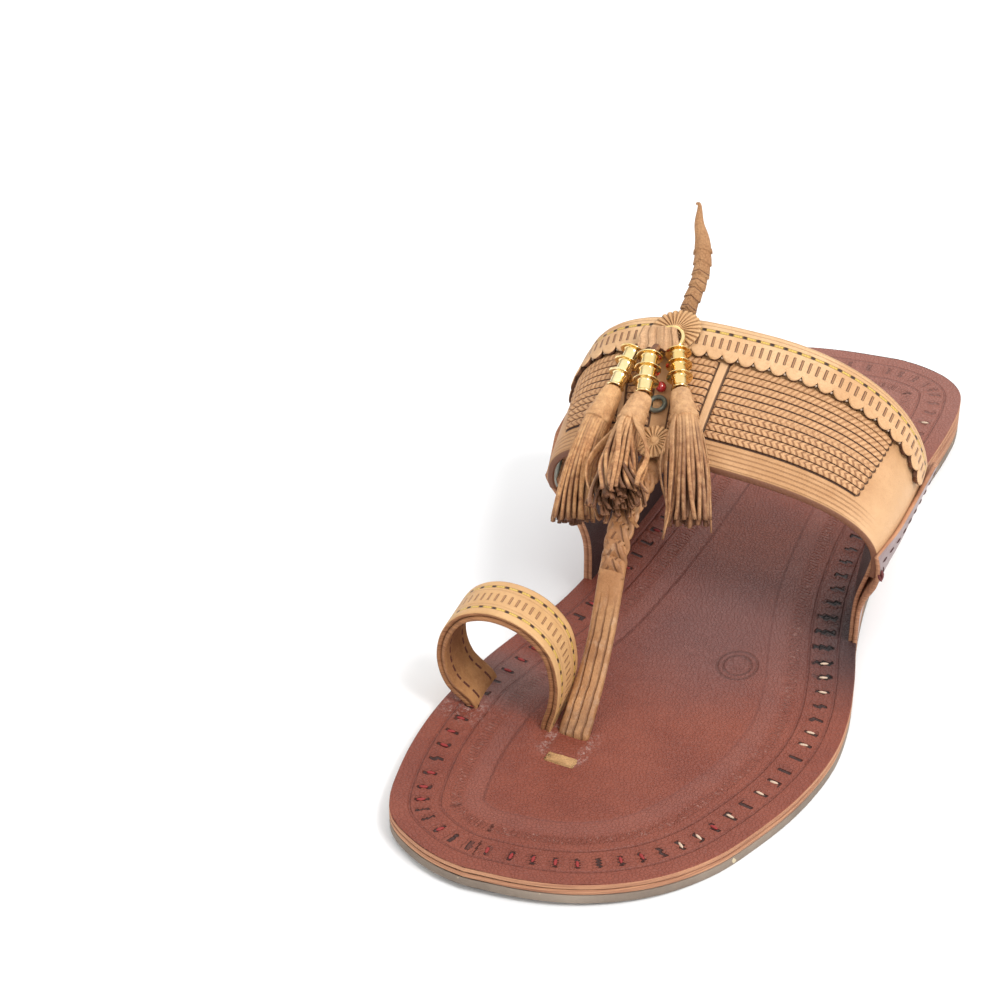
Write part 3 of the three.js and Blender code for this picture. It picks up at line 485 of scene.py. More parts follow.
def draw_down(bm, lower_at, rim_bevel):
    bm.normal_update()
    made = bmesh.ops.extrude_face_region(bm, geom=bm.faces[:], use_keep_orig=True)
    for vert in (item for item in made["geom"] if isinstance(item, bmesh.types.BMVert)):
        vert.co.z = lower_at(vert.co.y)
    bm.normal_update()
    walls = [face for face in bm.faces if abs(face.normal.z) < 0.5]
    for face in walls:
        face.material_index = 1
    rims = {edge for face in walls for edge in face.edges
            if any(abs(other.normal.z) > 0.5 for other in edge.link_faces)}
    bmesh.ops.bevel(bm, geom=list(rims), offset=rim_bevel, segments=2, profile=0.5, affect="EDGES", material=-1)


lift_share = float(np.interp(lift_start, lateral_edge[:, 1], np.linspace(0, 1, edge_samples)))
layers = [
    ("outsole", rubber_top, lambda y: rubber_top(y) - rubber_thick, 0.0, sole_rubber, "rubber"),
    ("heel_lift", lift_top, lambda y: rubber_top(y) + seam, lift_share, tan_edge, "sole_leather"),
    ("midsole", midsole_top, midsole_bottom, 0.0, tan_edge, "sole_leather"),
]
for name, upper_at, lower_at, start, look, slot in layers:
    bm = sole_grid(16, 150, upper_at, start)
    draw_down(bm, lower_at, 0.25)
    finish_piece(name, bm, [look, look], [name], closed=True)

# %% [markdown]
# ## Insole leather
# The insole is grained brown leather with a row of slits round its rim, two creased border lines, a row of
# small ticks and a firm step where the foot sits. All of it follows the rim, so the sheet remembers how far
# each point is from the rim and how far round it lies. Painted shade makes it darkest beside the little toe's
# flap.

# %% Insole patterns
slit_pitch, slit_line = 6.6, 8.6
look, height, mottle, fibre = grained("insole_leather", 0.85)
around, inward = look.sheet_place()
x_place, y_place = look.place(0), look.place(1)
rim = inward + (look.noise(18.0, 3.0) * 1.6 - 0.8) * 0.6
slit_step = repeat(around, slit_pitch)
slit = near(slit_step, 0.5, 0.085, 0.5) * near(inward, slit_line, 1.9, 0.15)
slit = slit * (1 - rise(y_place, 58.0, 84.0) * 0.62)
# Painted shade: an oval beside and under the little toe's flap, darkened nearly to black.
shade_by_flap = 1 - rise(oval(x_place, y_place, (50.0, 2.0), (24.0, 40.0)), 0.25, 1.2)
black_slit = (near(repeat(around + look.noise(130.0) * 1.2, slit_pitch), 0.5, 0.11, 0.5)
              * near(inward, slit_line + 0.8, 3.0, 0.15) * rise(shade_by_flap, 0.3, 0.6))
lips = near(slit_step, 0.5, 0.24, 0.6) * near(inward, slit_line, 2.6, 0.4)
border = near(rim, 5.2, 0.32, 0.8) + near(rim, 13.4, 0.34, 0.8)
ticks = near(repeat(around, 1.5), 0.5, 0.26, 0.6) * near(inward, 17.6, 1.5, 0.3)
# The crease at the step is darkened in the colour below: painted shade in the crease.
stage_step, shaded_stage_crease = rise(rim, 24.2, 25.6), near(rim, 24.9, 0.35, 0.9)
stamp = oval(x_place, y_place, (19.5, -30.0), (1.0, 1.15))
stamp_line = near(stamp, 5.6, 0.35, 0.8) + near(stamp, 3.9, 0.3, 0.8)
print("slits every", slit_pitch, "mm,", slit_line, "mm from the rim")

# %% [markdown]
# Wear and painted light make it one old piece: a painted highlight along the step, painted shade beside the
# flap, pale scuffs where the straps go in, and a painted highlight on the heel. Each is a soft mask and a
# colour, laid over the last as one more coat.

# %% Insole wear and relief
instep = 1 - rise(oval(x_place, y_place, (10.0, -15.0), (34.0, 46.0)), 0.15, 1.15)
toe_rub = 1 - rise(oval(x_place, y_place, (-38.0, -66.0), (20.0, 16.0)), 0.3, 1.1)
foot_x, foot_y = calc("ABSOLUTE", x_place + 8.4), calc("ABSOLUTE", y_place + 83.0)
by_thong = (1 - rise(foot_x, 5.0, 9.0)) * (1 - rise(foot_y, 4.0, 9.0)) * rise(foot_x, 3.4, 5.0)
by_loop = near(x_place, -41.0, 6.0, 0.6) * near(y_place, -82.0, 4.5, 0.7)
scuff = (by_thong + by_loop) * rise(look.noise(700.0, 6.0, 0.8), 0.48, 0.62)
smudge = (1 - rise(stamp, 3.0, 8.0)) * rise(look.noise(300.0, 5.0, 0.7), 0.4, 0.7)
tone = coats(blend(mottle, (0.19, 0.042, 0.024), (0.26, 0.066, 0.037)),
             (look.noise(24.0, 5.0, 0.7) * 0.4, (0.165, 0.047, 0.031)),
             # Painted highlight: a pale band along the step.
             (near(rim, 22.3, 2.6, 0.6) * 0.16, (0.27, 0.13, 0.11)),
             (instep * 0.6, (0.15, 0.075, 0.072)),
             (shade_by_flap * 0.9, (0.04, 0.026, 0.028)),
             (toe_rub * 0.55, (0.2, 0.13, 0.12)),
             (calc("MINIMUM", scuff, 1.0) * 0.55, (0.5, 0.36, 0.32)),
             (stamp_line * 0.5 + smudge * 0.4, (0.09, 0.03, 0.022)),
             # Painted highlight: the heel is made paler towards the back.
             (rise(y_place, 62.0, 120.0) * 0.4, (0.36, 0.17, 0.13)),
             (border * 0.28 + shaded_stage_crease * 0.3, (0.1, 0.03, 0.025)),
             (ticks * rise(fibre, 0.5, 0.7) * 0.4, (0.42, 0.24, 0.2)),
             # The slits are coloured near black: painted shade in the openings.
             (calc("MAXIMUM", slit * 0.85, black_slit), (0.012, 0.006, 0.006)))
relief = (height * 0.34 + mottle * 0.1 - border * 0.45 - ticks * 0.35 + stage_step * 0.6
          + lips * 0.5 - slit * 1.5 - black_slit * 1.5 - stamp_line * 0.35)
insole_leather = look.close(tone, mottle * 0.08 + 0.44, relief, 0.7, Specular_IOR_Level=0.35)

# %% [markdown]
# The thong and the toe loop go under the insole and lift it there. So the sheet is raised a little over
# both before it is drawn down to its thickness.

# %% Build the insole
thong_foot, loop_foot = (-11.0, -85.0), (-33.0, -73.0)


def over_straps(x, y):
    def hump(middle, half_x, soft_x, half_y, soft_y):
        return (smooth((half_x - np.abs(x - middle[0])) / soft_x)
                * smooth((half_y - np.abs(y - middle[1])) / soft_y))

    by_loop = smooth((16.0 - np.abs(x - loop_foot[0])) / 6)
    wrinkle = 0.12 * np.sin((x + y * 0.6) * 1.3) * by_loop
    return 0.55 * hump(thong_foot, 5.6, 1.6, 4.0, 1.4) + (0.75 + wrinkle) * hump(loop_foot, 15.5, 6, 8.5, 4)


bm = sole_grid(128, 300, insole_top, raised=over_straps)
draw_down(bm, lambda y: insole_top(y) - insole_thick, 0.3)
finish_piece("insole", bm, [insole_leather, tan_edge], ["insole"], closed=True)


# %% [markdown]
# ## Stitches in the slits
# Each slit shows a short bar of thread: dark red round the toe and the big toe side, cream on the other side.
# A stitch is a tiny sphere stretched into a bar. One mesh holds them all, because a hundred objects would
# be slow and no stitch ever moves.

# %% Threads and bars
def plain(name, colour, roughness=0.6, **settings):
    look, _, _, fibre = grained(name, 2.0)
    dark = tuple(channel * 0.6 for channel in colour)
    return look.close(blend(fibre, dark, colour), roughness, fibre, 0.15, **settings)


red_thread = plain("red_thread", (0.33, 0.022, 0.02))
cream_thread = plain("cream_thread", (0.75, 0.55, 0.4))
dark_thread = plain("dark_thread", (0.06, 0.012, 0.012))


def bars(places, length, width, high):
    bm = bmesh.new()
    for spot, run, up in places:
        run = Vector(run).normalized()
        side = Vector(up).cross(run).normalized()
        turn = Matrix((run, side, run.cross(side))).transposed().to_4x4()
        sizes = Matrix.Diagonal((length / 2, width / 2, high / 2, 1))
        bmesh.ops.create_uvsphere(bm, u_segments=8, v_segments=6, radius=1,
                                  matrix=Matrix.Translation(spot) @ turn @ sizes)
    print("bars:", len(places))
    return bm


# %% [markdown]
# The slits march round the rim at one pitch. Some have lost their thread, more of them towards the heel, and
# the colour changes on the little toe's side, so seeded chance decides for each slit in turn.

# %% Stitch the insole
medial_run = rim_run[edge_samples - 1]
toe_y_line, red_y_line = -92, -118
stitches = {"red": [], "cream": []}
for k in range(int(rim_run[-1] / slit_pitch)):
    at = (k + 0.5) * slit_pitch
    spot, ahead = (np.array([np.interp(at + step, rim_run, rim_line[:, c]) for c in range(3)])
                   for step in (0, 1))
    run = Vector(ahead - spot).normalized()
    inwards = Vector((run.y, -run.x, 0))
    if (Vector((-5, min(max(spot[1], -85), 90), 0)) - Vector(spot)).dot(inwards) < 0:
        inwards.negate()
    centre = Vector(spot) + inwards * (slit_line + luck.uniform(-0.3, 0.3))
    centre.z = float(insole_top(centre.y)) + 0.05
    under_flap = centre.x > 0 and -14 < centre.y < 60
    missing = 0.2 if centre.x < 0 or centre.y < toe_y_line else 0.45
    if under_flap or luck.random() < (missing if centre.y < 0 else 0.7):
        continue
    is_red = at < medial_run or centre.y < red_y_line
    is_red = is_red or (centre.y < toe_y_line and centre.x > 0 and luck.random() < 0.7)
    lean = run * luck.uniform(-0.2, 0.2)
    stitches["red" if is_red else "cream"].append((centre, inwards + lean, (0, 0, 1)))
for colour, thread, width in (("red", red_thread, 1.0), ("cream", cream_thread, 0.8)):
    bm = bars(stitches[colour], 2.6, width, 0.7)
    finish_piece("stitches_" + colour, bm, [thread])


# %% [markdown]
# ## The shape of the instep
# Above the sole the band follows the last: a square-shouldered arch, wider and higher at the back. It is
# measured once as a table of smooth sections. After that a point is found by its share of the arch's length,
# its share of the band's width and its height above the leather.

# %% Sections of the band
band_front_y = along_y(0.45)
sole_level = float(insole_top(band_front_y))
last_rows = {
    "front": dict(centre=-0.015, lateral=0.99, medial=1.0, wide_at=0.64, lateral_full=2.6, medial_full=2.5),
    "back": dict(centre=-0.07, lateral=1.01, medial=1.06, wide_at=0.54, lateral_full=2.2, medial_full=2.8),
}
wall_steepness = 3.2


def last_at(y):
    t = (y - band_front_y) / band_width
    shape = {name: mix(last_rows["front"][name], last_rows["back"][name], t) for name in last_rows["front"]}
    rise_here = mix(band_front_rise, band_back_rise, t)
    for name in ("centre", "lateral", "medial"):
        shape[name] = shape[name] * band_half_span
    shape["wide_z"] = sole_level + shape["wide_at"] * rise_here
    shape["top"] = rise_here * (1 - shape["wide_at"])
    return shape


def crown_at(across):
    return band_crown * (1 - (2 * np.clip(across, 0, 1) - 1) ** 2)


def band_spot(x, y, lift):
    last = last_at(y)
    raised = lift + crown_at((y - band_front_y) / band_width)
    lateral = x > last["centre"]
    half = (last["lateral"] if lateral else last["medial"]) + raised
    full = last["lateral_full"] if lateral else last["medial_full"]
    share = min(abs(x - last["centre"]) / half, 1)
    return Vector((x, y, last["wide_z"] + (last["top"] + raised) * (1 - share**full) ** (1 / full)))


def wall_x(side, y, z, lift):
    last = last_at(y)
    half = last["lateral"] if side > 0 else last["medial"]
    if z <= last["wide_z"]:
        low = float(midsole_top(y))
        share = np.clip((z - low) / (last["wide_z"] - low), 0, 1)
        return mix(edge_x(side, y), last["centre"] + side * half, smooth(share) ** wall_steepness) + side * lift
    full = last["lateral_full"] if side > 0 else last["medial_full"]
    up = min((z - last["wide_z"]) / (last["top"] + lift), 1)
    return last["centre"] + side * (half + lift) * (1 - up**full) ** (1 / full)


flap_top = sole_level + flap_height
tuck_depth = 9.0
arch_count = 361


def arch_section(across, lift):
    y = band_front_y + across * band_width
    last = last_at(y)
    raised = lift + crown_at(across)
    feet = np.linspace(flap_top - tuck_depth, last["wide_z"], 7)[:-1]
    line = [(wall_x(1, y, z, raised), y, z) for z in feet]
    for turn in np.cos(np.linspace(0, math.pi, 161)):
        side = math.copysign(abs(turn) ** 0.8, turn)
        half = (last["lateral"] if side > 0 else last["medial"]) + raised
        line.append(tuple(band_spot(last["centre"] + side * half * 0.9999, y, lift)))
    line += [(wall_x(-1, y, z, raised), y, z) for z in feet[::-1]]
    return resample(np.array(line), arch_count)


widths = np.linspace(0, 1, 13)
arch_base = np.array([arch_section(across, 0.0) for across in widths])
arch_raised = np.array([arch_section(across, 1.0) for across in widths])


def band_points(share, across, lift):
    at_share = np.clip(share, 0, 1) * (arch_count - 1)
    at_width = across * (len(widths) - 1)
    i = np.clip(at_width.astype(int), 0, len(widths) - 2)
    j = np.clip(at_share.astype(int), 0, arch_count - 2)
    u, v = (at_width - i)[:, None], (at_share - j)[:, None]
    layers = []
    for table in (arch_base, arch_raised):
        near_row = mix(table[i, j], table[i, j + 1], v)
        layers.append(mix(near_row, mix(table[i + 1, j], table[i + 1, j + 1], v), u))
    return mix(layers[0], layers[1], lift[:, None])


arch_mm = 146.0
print("arch of the band", arch_mm, "mm")

# %% [markdown]
# ## The braided band
# The band is one leather with its strips laid side by side and sewn, so they read as ridges with gaps of
# painted shade. Separate cords would be truer to the maker's bench, but one sheet raised where the strips lie
# has the same outline with far fewer faces. The fine plait on each strip is left to the bump and to painted
# shade.

# %% Build the band
panels = [(27.2, 77.0), (81.0, 90.4), (97.2, 104.8), (108.2, 126.6)]
dividers = [(77.6, 80.4), (105.3, 107.7)]
panel_front, panel_back, panel_strips = 7.0, 30.0, 10
strip_pitch = (panel_back - panel_front) / panel_strips
panel_middle = (panel_front + panel_back) / 2
slant_middle, divider_slant = 79.0, 0.12
edge_turn = np.array([  # across the sheet: share of the band's width, height, and drawn place
    (0, 0.01, -2.2, -3), (0.02, 0, -1.9, -2.5), (0.04, 0, -0.5, -1.2), (0.06, 0.012, 0, 0.5),
    (0.94, 0.988, 0, 41.5), (0.96, 1, -0.5, 43.2), (0.98, 1, -1.9, 44.5), (1, 0.99, -2.2, 45),
])
under_arch = (0, 7, 20)


def inside(value, low, high, soft):
    return smooth((value - low) / soft + 0.5) * smooth((high - value) / soft + 0.5)


def band_place(s, t):
    across, drop, drawn = (np.interp(t, edge_turn[:, 0], edge_turn[:, column]) for column in (1, 2, 3))
    along, out = s * arch_mm, across * band_width
    strip = (out - panel_front) / strip_pitch % 1
    crest = np.sqrt(np.clip(1 - np.abs(2 * strip - 1) ** 3, 0, 1)) * 0.8
    beside_slant = smooth((np.abs(along - slant_middle) - 4.0) / 8.0)
    leaning = along + (out - panel_middle) * divider_slant * (1 - beside_slant)
    on_panel, on_divider = (sum(inside(leaning, low, high, 0.8) for low, high in spans)
                            for spans in (panels, dividers))
    lift = drop + (crest * on_panel + 0.5 * on_divider) * inside(out, panel_front, panel_back, 0.3)
    return band_points(s, across, lift), along, np.where((t > 0.06) & (t < 0.94), out, drawn)


bm = sheet(330, 160, band_place)
face_away(bm, under_arch)
print("band of", round(arch_mm), "by", round(band_width), "mm with", panel_strips, "strips")

# %% [markdown]
# The band's colours are drawn from the same panels as its sheet: a plait on each strip with painted shade
# between its knots, painted shade in the gaps between the strips and round the panels, and pressed lines along
# the front margin. A painted picture could show more accidents, but it couldn't follow the panels when their
# sizes change.

# %% Band finish
look, height, mottle, fibre = grained("band_leather", 1.1)
along, out = look.sheet_place()
wide = near(out, panel_middle, (panel_back - panel_front) / 2 + 0.1, 0.02)
strip = repeat(out - panel_front, strip_pitch)
from_crest = calc("ABSOLUTE", strip - 0.5)
hairpin = from_crest * from_crest * 3.2 * (1 - rise(along, 30.0, 31.0))
leaning = along + (out - panel_middle) * divider_slant * near(along, slant_middle, 8.0, 0.5)
panel = sum(rise(leaning - hairpin, low - 0.4, low - 0.2) * (1 - rise(leaning, high + 0.2, high + 0.4))
            for low, high in panels) * wide
divider = sum(near(leaning, (low + high) / 2, (high - low) / 2 - 0.1, 0.1) for low, high in dividers) * wide
# Painted shade: the gaps between the raised strips and the rims round the panels go near black.
gap = rise(from_crest, 0.4, 0.47) * panel
front_strips = 1 - rise(out, panel_front + 8.0, panel_front + 12.0)
plait = near(repeat(along * 0.5 + from_crest * 1.3, 1.0), 0.5, 0.34, 0.5)
weave = near(repeat(along * 0.62 + strip * 0.9, 1.0), 0.5, 0.36, 0.6)
knot = (plait * front_strips + weave * (1 - front_strips)) * panel
panel_ends = sum(near(leaning - hairpin, low - 0.5, 0.28, 0.5) + near(leaning, high + 0.5, 0.28, 0.5)
                 for low, high in panels) * wide
panel_sides = near(out, panel_front - 0.1, 0.25, 0.5) + near(out, panel_back, 0.25, 0.5)
shaded_panel_rim = panel_ends + panel_sides * panel
margin_line = (near(repeat(out + look.noise(60.0) * 0.5, 1.3), 0.5, 0.12, 0.8) * near(out, 3.2, 3.0, 0.2)
               * rise(along, 14.0, 30.0))
cut = calc("MINIMUM", (1 - rise(out, -0.6, 0.1)) + rise(out, 42.2, 43.0), 1.0)
tan = coats(blend(mottle, (0.47, 0.235, 0.095), (0.61, 0.34, 0.16)),
            (rise(fibre, 0.45, 0.75) * 0.35, (0.44, 0.21, 0.085)),
            ((1 - rise(along, 12.0, 30.0)) * 0.5, (0.74, 0.48, 0.27)))
# Painted shade between the plait's knots.
shaded_plait_gap = blend(front_strips, (0.36, 0.16, 0.06), (0.27, 0.11, 0.038))
braid = coats(blend(knot, shaded_plait_gap, (0.63, 0.35, 0.165)),
              (look.specks(1000.0, 0.42, 0.66) * 0.55, (0.3, 0.125, 0.045)))
tone = coats(blend(panel, tan, braid),
             (divider * 0.6, (0.72, 0.45, 0.24)),
             (margin_line * 0.6, (0.3, 0.13, 0.05)),
             (calc("MINIMUM", gap + shaded_panel_rim * 0.9, 1.0), (0.05, 0.016, 0.006)),
             (cut, (0.2, 0.08, 0.04)))
relief = height * 0.14 + fibre * 0.2 + knot * 0.35 - margin_line * 0.4 - gap * 0.7 - shaded_panel_rim * 0.6
band_leather = look.close(tone, 0.56, relief, 0.6)
finish_piece("band", bm, [band_leather], ["upper"])

# %% [markdown]
# ## Lining
# Under the band lies a thin pale green lining, seen at the front opening. It could be a colour on the band's
# lower face, but it has an edge of its own, so it is the same sheet set lower, with a thin wall.

# %% Line the band
lining_depth, lining_wall = 1.9, 0.35
look, _, mottle, fibre = grained("pale_lining", 0.7)
lining = look.close(blend(mottle, (0.6, 0.68, 0.6), (0.74, 0.8, 0.72)), 0.75, fibre, 0.15)
bm = sheet(96, 12, lambda s, t: (band_points(s, t * 0.97 + 0.015, np.full(len(s), -lining_depth)), s, t))
face_away(bm, under_arch)
finish_piece("band_lining", bm, [lining, tan_edge, lining], wall=lining_wall)

# %% [markdown]
# ## The scalloped edge
# A second leather is sewn along the back edge of the band, with a scalloped front edge, a row of punched
# slots and a gold thread. The scallops are cut in the sheet itself: its front row steps out along half
# sines. The slots and the thread are drawn, since they are shallower than the leather is thick.

# %% Cut the scalloped strip
strip_front, strip_back, strip_from, strip_to = 0.735, 0.985, 0.085, 0.93
scallops, columns_each, scallop_depth = 28, 12, 0.05


def strip_place(s, t):
    share = mix(strip_from, strip_to, s)
    scallop = np.abs(np.sin(np.pi * s * scallops)) ** 0.6
    across = mix(strip_front - scallop_depth * scallop, strip_back, t)
    edge = np.minimum(t / 0.03, (1 - t) / 0.04)
    lift = mix(2.2, 1.5, t) - 0.3 * (1 - np.clip(edge, 0, 1)) ** 2
    return band_points(share, across, lift), share * arch_mm, across * band_width


bm = sheet(scallops * columns_each, 20, strip_place)
face_away(bm, under_arch)

# %% [markdown]
# The strip is a paler tan than the band. A slot and a line of stitches could be cut and sewn as meshes, but
# dozens of openings a millimetre wide would cost far more faces than they show, so both are drawn with bump,
# with painted shade in the needle holes and along the thread's groove and a painted shadow in each slot.

# %% Punch and stitch the strip
gold, slot_line, thread_line, stitch_pitch = (0.68, 0.45, 0.09), 34.3, 38.0, 3.7
look, height, mottle, _ = grained("scalloped_leather", 1.1)
along, out = look.sheet_place()
slot_pitch = (strip_to - strip_from) * arch_mm / scallops / 2
slot_step = repeat(along - strip_from * arch_mm, slot_pitch)
slot = near(slot_step, 0.5, 0.145, 0.3) * near(out, slot_line, 1.75, 0.12)
# Painted shadow on one side of each slot.
slot_shadow = near(slot_step, 0.61, 0.06, 0.5) * slot
thread, shaded_hole = look.group(stitch_group, Along=along, Across=out, Pitch=stitch_pitch, Line=thread_line)
margin_line = near(repeat(out, 1.15), 0.5, 0.1, 0.8) * rise(out, 38.7, 39.2)
tone = coats(blend(mottle, (0.58, 0.32, 0.145), (0.72, 0.45, 0.235)),
             (look.specks(1000.0, 0.45, 0.7) * 0.4, (0.42, 0.2, 0.08)),
             (margin_line * 0.4, (0.3, 0.13, 0.05)),
             (slot * 0.8, (0.3, 0.13, 0.052)),
             (slot_shadow * 0.9, (0.12, 0.042, 0.018)),
             # Painted shade: a dark line along the groove the gold thread lies in.
             (near(out, thread_line, 0.5, 0.4) * 0.7, (0.2, 0.085, 0.03)),
             (thread, gold),
             (shaded_hole, (0.03, 0.01, 0.004)))
relief = height * 0.12 - slot * 1.1 - shaded_hole * 0.8 + thread * 0.5 - margin_line * 0.25
scallop_leather = look.close(tone, 0.55, relief, 0.6)
brown_edge = cut_edge("brown_cut_edge", (0.16, 0.062, 0.025), (0.06, 0.021, 0.009))
finish_piece("edge_strip", bm, [scallop_leather, brown_edge, brown_edge], ["edge_strip"],
             wall=1.8)

# %% [markdown]
# In each notch between two scallops sits a pale knot of the thread that holds the strip down. Each is one
# short bar, like the stitches of the insole.

# %% Knots between the scallops
notches = mix(strip_from, strip_to, np.arange(3, scallops - 3) / scallops)
rows = band_points(notches, np.full(len(notches), strip_front - 0.008), np.full(len(notches), 1.15))
runs = np.gradient(rows, axis=0)
places = [(Vector(spot), Vector(run), Vector(spot) - Vector(under_arch)) for spot, run in zip(rows, runs)]
finish_piece("scallop_knots", bars(places, 0.9, 0.8, 0.7), [cream_thread])

# %% [markdown]
# ## Side flaps
# Each flap is two leathers sewn together, with the band's end tucked between them. They lie against each
# other at the sole and part near the top. So each leaf is its own sheet, given a wall, with tan cut edges.

# %% Places on a flap
flap_rows = np.array([  # share of the height, lean of the front edge, share of the length kept at the rear
    (0, 0, 1), (0.15, 0.01, 1), (0.35, 0.03, 0.985), (0.55, 0.085, 0.95), (0.72, 0.145, 0.9),
    (0.86, 0.175, 0.84), (0.95, 0.18, 0.77), (1, 0.175, 0.68),
])
inner_leans = np.array([(0, 0), (0.45, 0.035), (0.7, 0.07), (0.85, 0.02), (1, -0.06)])
flap_fronts = {1: (along_y(0.479), 1), -1: (along_y(0.457), 0)}
flap_rear_y = along_y(0.684)
open_out, open_in = seam + flap_leaf + band_crown, -(band_wall + seam + flap_leaf)
inner_foot, medial_front_height = -2.6, 0.84


def flap_spot(side, s, up, outer, off=0.0):
    front_y, leans = flap_fronts[side]
    if side < 0:
        up *= mix(medial_front_height, 1.0, float(smooth(s / 0.3)))
    lean_rows = inner_leans if side > 0 and not outer else flap_rows
    lean = np.interp(up, lean_rows[:, 0], lean_rows[:, 1])
    rear = np.interp(up, flap_rows[:, 0], flap_rows[:, 2])
    y = mix(front_y - leans * lean * flap_length, flap_rear_y - (1 - rear) * flap_length, s)
    z = mix(float(midsole_top(y)) + seam, flap_top, up)
    part = float(smooth((up - 0.3) / 0.65))
    proud = mix(seam + flap_leaf, open_out, float(smooth(s / 0.35)))
    lift = proud * part if outer else mix(inner_foot, open_in, part)
    return Vector((wall_x(side, y, z, lift + off), y, z))


def flap_leaf_sheet(side, outer):
    def place(s, t):
        spots = np.array([flap_spot(side, a, b, outer) for a, b in zip(s, t)])
        return spots, s * flap_length, t * flap_height

    bm = sheet(44, 30, place)
    face_away(bm, (0, 15, 25) if outer else (side * 200, 15, 25))
    return bm


def flap_stitch(side, s, up, step_s, step_up):
    here = flap_spot(side, s, up, True)
    return here, flap_spot(side, s + step_s, up + step_up, True) - here, (side, 0, 0)


def flap_finish(name, light, dark):
    look, height, mottle, _ = grained(name, 0.9)
    scuff = rise(look.noise(90.0, 6.0, 0.7), 0.6, 0.78)
    tone = coats(blend(mottle, dark, light), (scuff * 0.3, (0.34, 0.24, 0.22)))
    return look.close(tone, 0.5, height * 0.3 + mottle * 0.3, 0.5)


# %% [markdown]
# The outer leaves are a dusty maroon and the inner ones nearly black. Dark stitches run along the top and
# up the front edge. Both flaps come from the same lines, once for each side.

# %% Build the flaps
flap_outside = flap_finish("flap_outside", (0.44, 0.35, 0.345), (0.27, 0.195, 0.19))
flap_inside = flap_finish("flap_inside", (0.085, 0.045, 0.042), (0.04, 0.02, 0.019))
leaf_wall = 1.2
for side, word in ((1, "lateral"), (-1, "medial")):
    finish_piece(f"flap_{word}_outer", flap_leaf_sheet(side, True), [flap_outside, tan_edge, tan_edge],
                 [f"flap_{word}"], wall=leaf_wall)
    finish_piece(f"flap_{word}_inner", flap_leaf_sheet(side, False), [flap_inside, tan_edge, tan_edge],
                 wall=leaf_wall)
    places = [flap_stitch(side, 0.07 + 0.84 * k / 9, 0.93, 0.02, 0) for k in range(10)]
    places += [flap_stitch(side, 0.05, 0.45 + 0.1 * k, 0, 0.02) for k in range(5)]
    finish_piece(f"flap_{word}_stitches", bars(places, 3.2, 0.55, 0.6), [dark_thread])

# %% [markdown]
# The thread of the front edge ends in a small tangle. A few bars turned by chance read as a knot.

# %% Knot at the flap's front
knot_at = flap_spot(1, 0.0, 0.86, True, 0.4)
places = [(knot_at + Vector(luck.uniform(-0.8, 0.8) for _ in range(3)),
           [luck.uniform(-1, 1) for _ in range(3)], (0, 0.3, 1)) for _ in range(7)]
maroon_thread = plain("maroon_thread", (0.16, 0.03, 0.03))
finish_piece("flap_knot", bars(places, 2.6, 0.8, 0.8), [maroon_thread])

# %% [markdown]
# ## Toe loop
# The loop holds the big toe. It is two plies with a dark slit between them: a smooth outer ply with two
# gold-threaded lines and a row of short slots, and a rough suede ply inside with dark running stitches.

# %% Line of the toe loop
loop_width, loop_wall, loop_span, loop_rise = 15.6, 3.0, 36.0, 34.0
loop_centre_x, loop_front_y, loop_skew = -0.645 * half_ball, along_y(0.2138), -0.09
loop_rows = [
    (-0.2, -0.09), (-0.235, 0.02), (-0.42, 0.18), (-0.49, 0.4), (-0.45, 0.66), (-0.31, 0.87), (-0.08, 0.97),
    (0.2, 0.93), (0.395, 0.76), (0.465, 0.5), (0.455, 0.25), (0.405, 0.04), (0.395, -0.09),
]
loop_base = float(insole_top(loop_front_y))
loop_steps = 120
loop_stops = [(loop_centre_x + side * loop_span, loop_front_y, loop_base + up * loop_rise)
              for side, up in loop_rows]
loop_line = smooth_line(loop_stops, loop_steps + 1)
loop_mm = float(np.linalg.norm(np.diff(loop_line, axis=0), axis=1).sum())
print("toe loop of", round(loop_mm, 1), "mm")


def loop_place(off):
    def place(s, t):
        at = s * loop_steps
        low = np.clip(at.astype(int), 0, loop_steps - 1)
        spots = mix(loop_line[low], loop_line[low + 1], (at - low)[:, None])
        run = loop_line[low + 1] - loop_line[low]
        run /= np.linalg.norm(run, axis=1)[:, None]
        edge = 1 - np.clip(np.minimum(t, 1 - t) / 0.05, 0, 1)
        lift = off - math.copysign(0.25, off) * edge**2
        spots[:, 0] += -run[:, 2] * lift + t * loop_width * loop_skew
        spots[:, 1] += t * loop_width
        spots[:, 2] += run[:, 0] * lift
        return spots, s * loop_mm, t * loop_width

    return place


# %% [markdown]
# The outer ply is dressed like the scalloped strip, only paler. The inner one is left rough: its nap is a
# fine noise over two browns, with a dark running stitch near each edge.

# %% Loop finishes
look, height, mottle, fibre = grained("loop_leather", 1.0)
along, out = look.sheet_place()
from_middle, thread_line = calc("ABSOLUTE", out - loop_width / 2), 4.9
thread, shaded_hole = look.group(stitch_group, Along=along, Across=from_middle, Pitch=stitch_pitch, Line=thread_line)
slot = near(repeat(along, 2.0), 0.5, 0.13, 0.4) * near(out, loop_width / 2, 1.6, 0.15)
rail = near(from_middle, 3.4, 0.2, 0.9)
tone = coats(blend(mottle, (0.52, 0.28, 0.11), (0.65, 0.385, 0.17)),
             (rise(fibre, 0.5, 0.8) * 0.3, (0.42, 0.21, 0.085)),
             (slot * 0.8, (0.34, 0.15, 0.06)),
             (rail * 0.35, (0.4, 0.19, 0.075)),
             # Painted shade: a dark line along the groove the gold thread lies in.
             (near(from_middle, thread_line, 0.5, 0.4) * 0.6, (0.24, 0.1, 0.035)),
             (thread, gold),
             (shaded_hole, (0.04, 0.012, 0.006)))
relief = height * 0.1 - slot * 0.9 - shaded_hole * 0.8 + thread * 0.5 - rail * 0.2
loop_leather = look.close(tone, 0.52, relief, 0.55)

